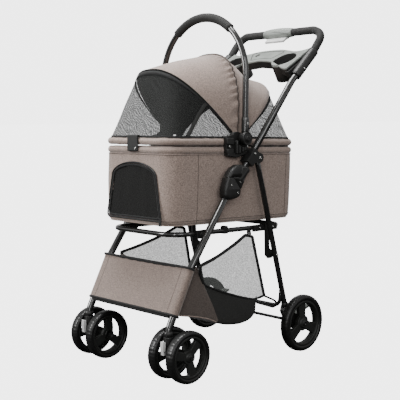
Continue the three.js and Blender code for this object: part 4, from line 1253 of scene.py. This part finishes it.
BLOCK_PLATES = [
    ("back", [(-84, 636), (-86, 684), (-60, 690), (-52, 698), (-36, 699), (4, 690), (4, 664), (-6, 640),
              (-50, 632)], 168.8, 5.8, 1.6),
    ("socket", [(-86, 661), (-86, 680), (-56, 680), (-56, 660)], 173, 7.5, 2.6),
    ("foot", [(-84, 633), (-84, 648), (-57, 650), (-55, 629)], 174, 6.5, 2.6),
    ("rib_a", [(-53, 634), (-53, 672), (-45, 673), (-45, 632)], 176, 12, 2.6),
    ("rib_b", [(-40, 634), (-40, 660), (-32, 658), (-32, 634)], 176, 11, 2.6),
    ("rib_c", [(-27, 638), (-27, 656), (-19, 656), (-19, 638)], 176, 11, 2.6),
    ("tail", [(-15, 641), (-15, 656), (2, 657), (-2, 644)], 176, 8, 2.2),
    ("sill", [(-84, 627), (-82, 636), (0, 641), (-6, 632), (-46, 622)], 172, 8.5, 2.4),
]


def make_side_blocks():
    for name, side in SIDES:
        for label, outline, middle, half, edge in BLOCK_PLATES:
            outline = [tuple(leaned(np.array([0, y, z]))[1:]) for y, z in rounded_outline(outline, 4)]
            replaces = [f"side_block_{name}"] if label == "back" else []
            plate(f"block_{label}_{name}", [outline], half, PLASTIC, "carrier", side_on(side * middle), edge,
                  replaces)
        screw(f"block_screw_front_{name}", (side * 179.6, -75, 655), side, "carrier", 4)
        screw(f"block_screw_rear_{name}", (side * 183.6, -4, 656), side, "carrier", 4)


MAT_EDGE = [(0.96, 433), (0.99, 435), (1.0, 438.5), (0.99, 442), (0.95, 444)]
MAT_TOP = 444.4


def make_mat():
    """The padded mat: a soft-edged pad with quilting shaped into its top."""
    outline, centre = rounded_loop(143, -273, 231, 44, 0, 40, 24, 8), np.array([0, -21, 0])
    rows = []
    for share, z in MAT_EDGE + [(share, MAT_TOP) for share in np.linspace(0.9, 0.05, 16)]:
        row = (outline - centre) * share
        row[:, 2] = z
        if z == MAT_TOP:
            quilt = np.abs(np.sin(row[:, 0] * math.pi / 74) * np.sin(row[:, 1] * math.pi / 84))
            row[:, 2] += 1.5 * quilt ** 0.5
        rows.append(row + centre)
    rows = np.array(rows)
    count, columns = rows.shape[:2]
    faces = grid_faces(count, columns, False, True)
    faces.append(tuple(range(columns - 1, -1, -1)))
    faces.append(tuple(range((count - 1) * columns, count * columns)))
    pad = piece_from("quilted_mat", leaned(rows).reshape(-1, 3), faces, MAT, "carrier", ["floor_mat"])


# ------------------------------------------------------------------ canopy and its mesh

def bow_at(bow, turn, inset=0.0, lean=0.0):
    """A point on a bow, a superellipse in its own leaning plane. turn 0 is the left foot."""
    foot_y, apex = BOWS[bow]
    rise = np.array([apex[0] - foot_y, apex[1] - BOW_FOOT_Z], float)
    height = np.linalg.norm(rise)
    rise /= height
    cos, sin = math.cos(lean), math.sin(lean)
    rise = np.array([rise[0] * cos - rise[1] * sin, rise[0] * sin + rise[1] * cos])
    across = math.copysign(abs(math.cos(turn)) ** 0.8, math.cos(turn))
    up = abs(math.sin(turn)) ** 0.8 * (height - inset)
    sweep = BOW_SWEEP[bow] * max(0.0, 1 - up / height) ** 1.6
    return np.array([(BOW_HALF - inset) * across, foot_y + sweep + rise[0] * up, BOW_FOOT_Z + rise[1] * up])


TURNS = np.linspace(0.01, math.pi - 0.01, 134)
CANOPY_CENTRE = np.array([0, -22, 700.0])


def canopy_rows(first, second, belly, dip=0.0, gather_at=None):
    """Cloth stretched from one bow to the next, with a dip over the top and gathers along one edge."""

    def point(share, turn):
        start, end = bow_at(first, turn), bow_at(second, turn)
        point = start + (end - start) * share
        reach = np.linalg.norm(end - start)
        push = belly * math.sin(math.pi * share) * min(1, reach / 150)
        push -= dip * math.exp(-((share - 0.5) / 0.24) ** 2) * math.sin(turn) ** 3
        push += 0.3 * dip * math.exp(-((share - 0.9) / 0.1) ** 2) * math.sin(turn)
        push += 0.9 * noise.noise(Vector(point) * 0.022) * math.sin(math.pi * share)
        if gather_at is not None:
            away = abs(share - gather_at) * reach
            side = min(1, abs(math.cos(turn)) * 1.5) ** 1.5
            pleat = math.sin(turn * 50 + 0.04 * away + 3 * noise.noise(Vector((turn * 4, 0, 0))))
            near = math.exp(-(away / 26) ** 2) * (1 - 0.6 * math.exp(-(away / 3) ** 2))
            push += math.exp(-(away / 34) ** 2) * 2.0 + near * 3.6 * pleat * side
        return point + unit(point - CANOPY_CENTRE) * push

    return table(point, np.linspace(0, 1, 46), TURNS)


def make_canopy():
    front = canopy_rows("front", "middle", 5.0, gather_at=1.0)
    rear = canopy_rows("middle", "rear", 8.0, 24.0)
    hood = grid_piece("canopy_front", front[:, ::-1], LINEN, None, replaces=["canopy"])
    back = grid_piece("canopy_rear", rear[:, ::-1], LINEN, None)
    for piece in (hood, back):
        thicken(piece, 1.4, -1.0, LINING)
    middle, ahead, behind = (leaned(bow_at(bow, math.pi / 2)) * MM for bow in ("middle", "front", "rear"))
    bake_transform(hood)
    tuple(middle)
    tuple(ahead)
    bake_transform(back)
    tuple(middle)
    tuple(behind)
    piping = front[-1] + np.array([0, 1.6, 1.6])
    tube("canopy_piping", piping, 2.6, SEAM, "carrier", 10)
    edge = np.array([bow_at("front", turn, 0.6) for turn in TURNS])
    tube("canopy_front_binding", edge, 1.5, CLOTH, "front_bow", 12)
    declare_cut(front)
    declare_cut(rear)
    edge = np.array([bow_at("rear", turn, -0.4) for turn in TURNS])
    tube("canopy_rear_binding", edge, 2.3, WEBBING, "rear_bow", 12)
    for bow, body, node in (("front", "front_bow", ["front_bow"]), ("rear", "rear_bow", ["rear_bow"]),
                            ("middle", "carrier", [])):
        path = np.array([bow_at(bow, turn, 9.5) for turn in np.linspace(0, math.pi, 90)])
        tube(f"{bow}_bow_wire", path, BOW_RADIUS, LINING, body, 16, replaces=node)


def rim_half(direction, start_y):
    """Half of the upper rim's top, from its left side around one end to its right side."""
    end = RIM["front"] if direction < 0 else RIM["rear"]
    half, corner, z = RIM["half"], RIM["corner"], UPPER_RIM + RIM_RADIUS + 0.8
    points = [(half, start_y, z)]
    for turn in np.linspace(0, math.pi / 2, 10):
        points.append((half - corner + corner * math.cos(turn),
                       end - direction * corner + direction * corner * math.sin(turn), z))
    return np.array(points + [(-x, y, z) for x, y, z in points[::-1]])


def window_point(bow, direction, bottom, share, height):
    """A point on a window: share runs along the rim and the bow, height from the rim to the bow."""
    along = distances(bottom)
    low = np.array([np.interp(share * along[-1], along, bottom[:, k]) for k in range(3)])
    high = bow_at(bow, 0.10 + (math.pi - 0.20) * share, 1.0, direction * -0.02)
    return low + (high - low) * height


def make_window(label, bow, direction):
    foot_y = BOWS[bow][0]
    bottom = rim_half(direction, foot_y + BOW_SWEEP[bow] + direction * 10)

    def point(height, share):
        slack = 2.2 * noise.noise(Vector((share * 9, height * 2.5, direction))) * math.sin(math.pi * height)
        return window_point(bow, direction, bottom, share, height) + [0, direction * slack, slack * 0.4]

    rows = table(point, np.linspace(0, 1, 30), np.linspace(0, 1, 100))
    body = f"{bow}_bow"
    ordered = rows if direction < 0 else rows[:, ::-1]
    net = grid_piece(f"{label}_window", ordered, WINDOW, body, replaces=[f"{label}_mesh"])
    thicken(net, NET_THICKNESS)
    foot, apex = leaned(np.array([0, foot_y, BOW_FOOT_Z])), leaned(bow_at(bow, math.pi / 2))

    def gather(piece):
        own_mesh(piece)

    gather(net)
    declare_cut(rows)
    binding = rows[0] + np.array([0, 0, 2.0])
    sideways = unit((binding + [0, 19, 0]) * [1, 1, 0])
    gather(strip(f"{label}_window_tape", binding, sideways, 5.5, WEBBING, body, 0.6))
    if direction < 0:
        path = [window_point(bow, direction, bottom, 0.253 - 0.138 * height ** 0.9, height)
                for height in np.linspace(0.02, 0.98, 24)]
        outward = np.tile([1, -0.25, 0.25], (len(path), 1))
        gather(strip("window_strap", path, outward, 12, CLOTH, body, 0.7))
    band = rows[-1:-4:-1, ::-direction] + [0, direction * 0.8, 0]
    edge = grid_piece(f"{label}_window_edge", band, WEBBING, body)
    thicken(edge, 0.9)
    gather(edge)


# ------------------------------------------------------------------ arch handle

def arch_path(first, last, count):
    springing = ARCH_TOP - ARCH_X
    turns = np.linspace(first, last, count) * math.pi
    return np.array([(ARCH_X * math.cos(t), ARCH_Y, springing + ARCH_X * math.sin(t)) for t in turns])


def make_arch():
    legs = [(ARCH_X, ARCH_Y, z) for z in np.linspace(ARCH_FOOT + 12.5, ARCH_TOP - ARCH_X - 8, 12)]
    path = legs + list(arch_path(0, 1, 60)) + [(-x, y, z) for x, y, z in legs[::-1]]
    tube("arch_tube", path, ARCH_TUBE, PAINT, "arch_handle", 28, replaces=["arch_handle"])
    tube("arch_pad", arch_path(0.28, 0.72, 40), ARCH_GRIP, FOAM, "arch_handle", 32,
         replaces=["arch_grip"], lumps=0.35)
    under = arch_path(0.285, 0.715, 40)
    under += (np.array([0, ARCH_Y, ARCH_TOP - ARCH_X]) - under) / ARCH_X * (ARCH_GRIP - 0.1)
    tube("arch_pad_seam", under, 0.6, WEBBING, "arch_handle", 8)
    hub = [(14, -11), (19.4, -10.4), (20.4, -9), (20.4, 7.5), (19.2, 9.6), (17.6, 10.2), (16.8, 9.4),
           (13, 9.4), (12, 10.6), (10.4, 10.6), (10.2, 1.8), (0.4, 1.8)]
    sleeve = [(9.9, 14), (11.4, 16), (11.6, 22), (11.4, 56), (11.0, 62), (9.9, 64)]
    button = [(9.3, 0), (9.3, 5.6), (8.4, 7.0), (4, 7.5), (0.4, 7.2)]
    for name, side in SIDES:
        out, foot = (side, 0, 0), (side * ARCH_X, ARCH_Y, ARCH_FOOT)
        lathe(f"arch_hub_{name}", hub, (side * 189.6, *foot[1:]), out, PLASTIC, "arch_handle", 48)
        lathe(f"arch_sleeve_{name}", sleeve, foot, (0, 0, 1), PAINT, "arch_handle", 36)
        above = (side * (ARCH_X + 11.4), ARCH_Y, ARCH_FOOT + 44)
        screw(f"arch_screw_{name}", above, side, "arch_handle", 3.4)
        lathe(f"arch_button_cap_{name}", button, (side * 196.1, *foot[1:]), out, PLASTIC,
              f"arch_button_{name}", 40, replaces=[f"arch_button_{name}"])


# ------------------------------------------------------------------ the stroller

make_camera()
make_world()
make_floor()
make_lights()
make_wheels()
make_rear_frame()
make_front_frame()
make_front_panel()
make_handle()
make_tray()
make_ring()
make_basket()
make_tub()
make_door()
make_rims()
make_side_blocks()
make_mat()
make_canopy()
make_window("front", "front", -1)
make_window("rear", "rear", 1)
make_arch()
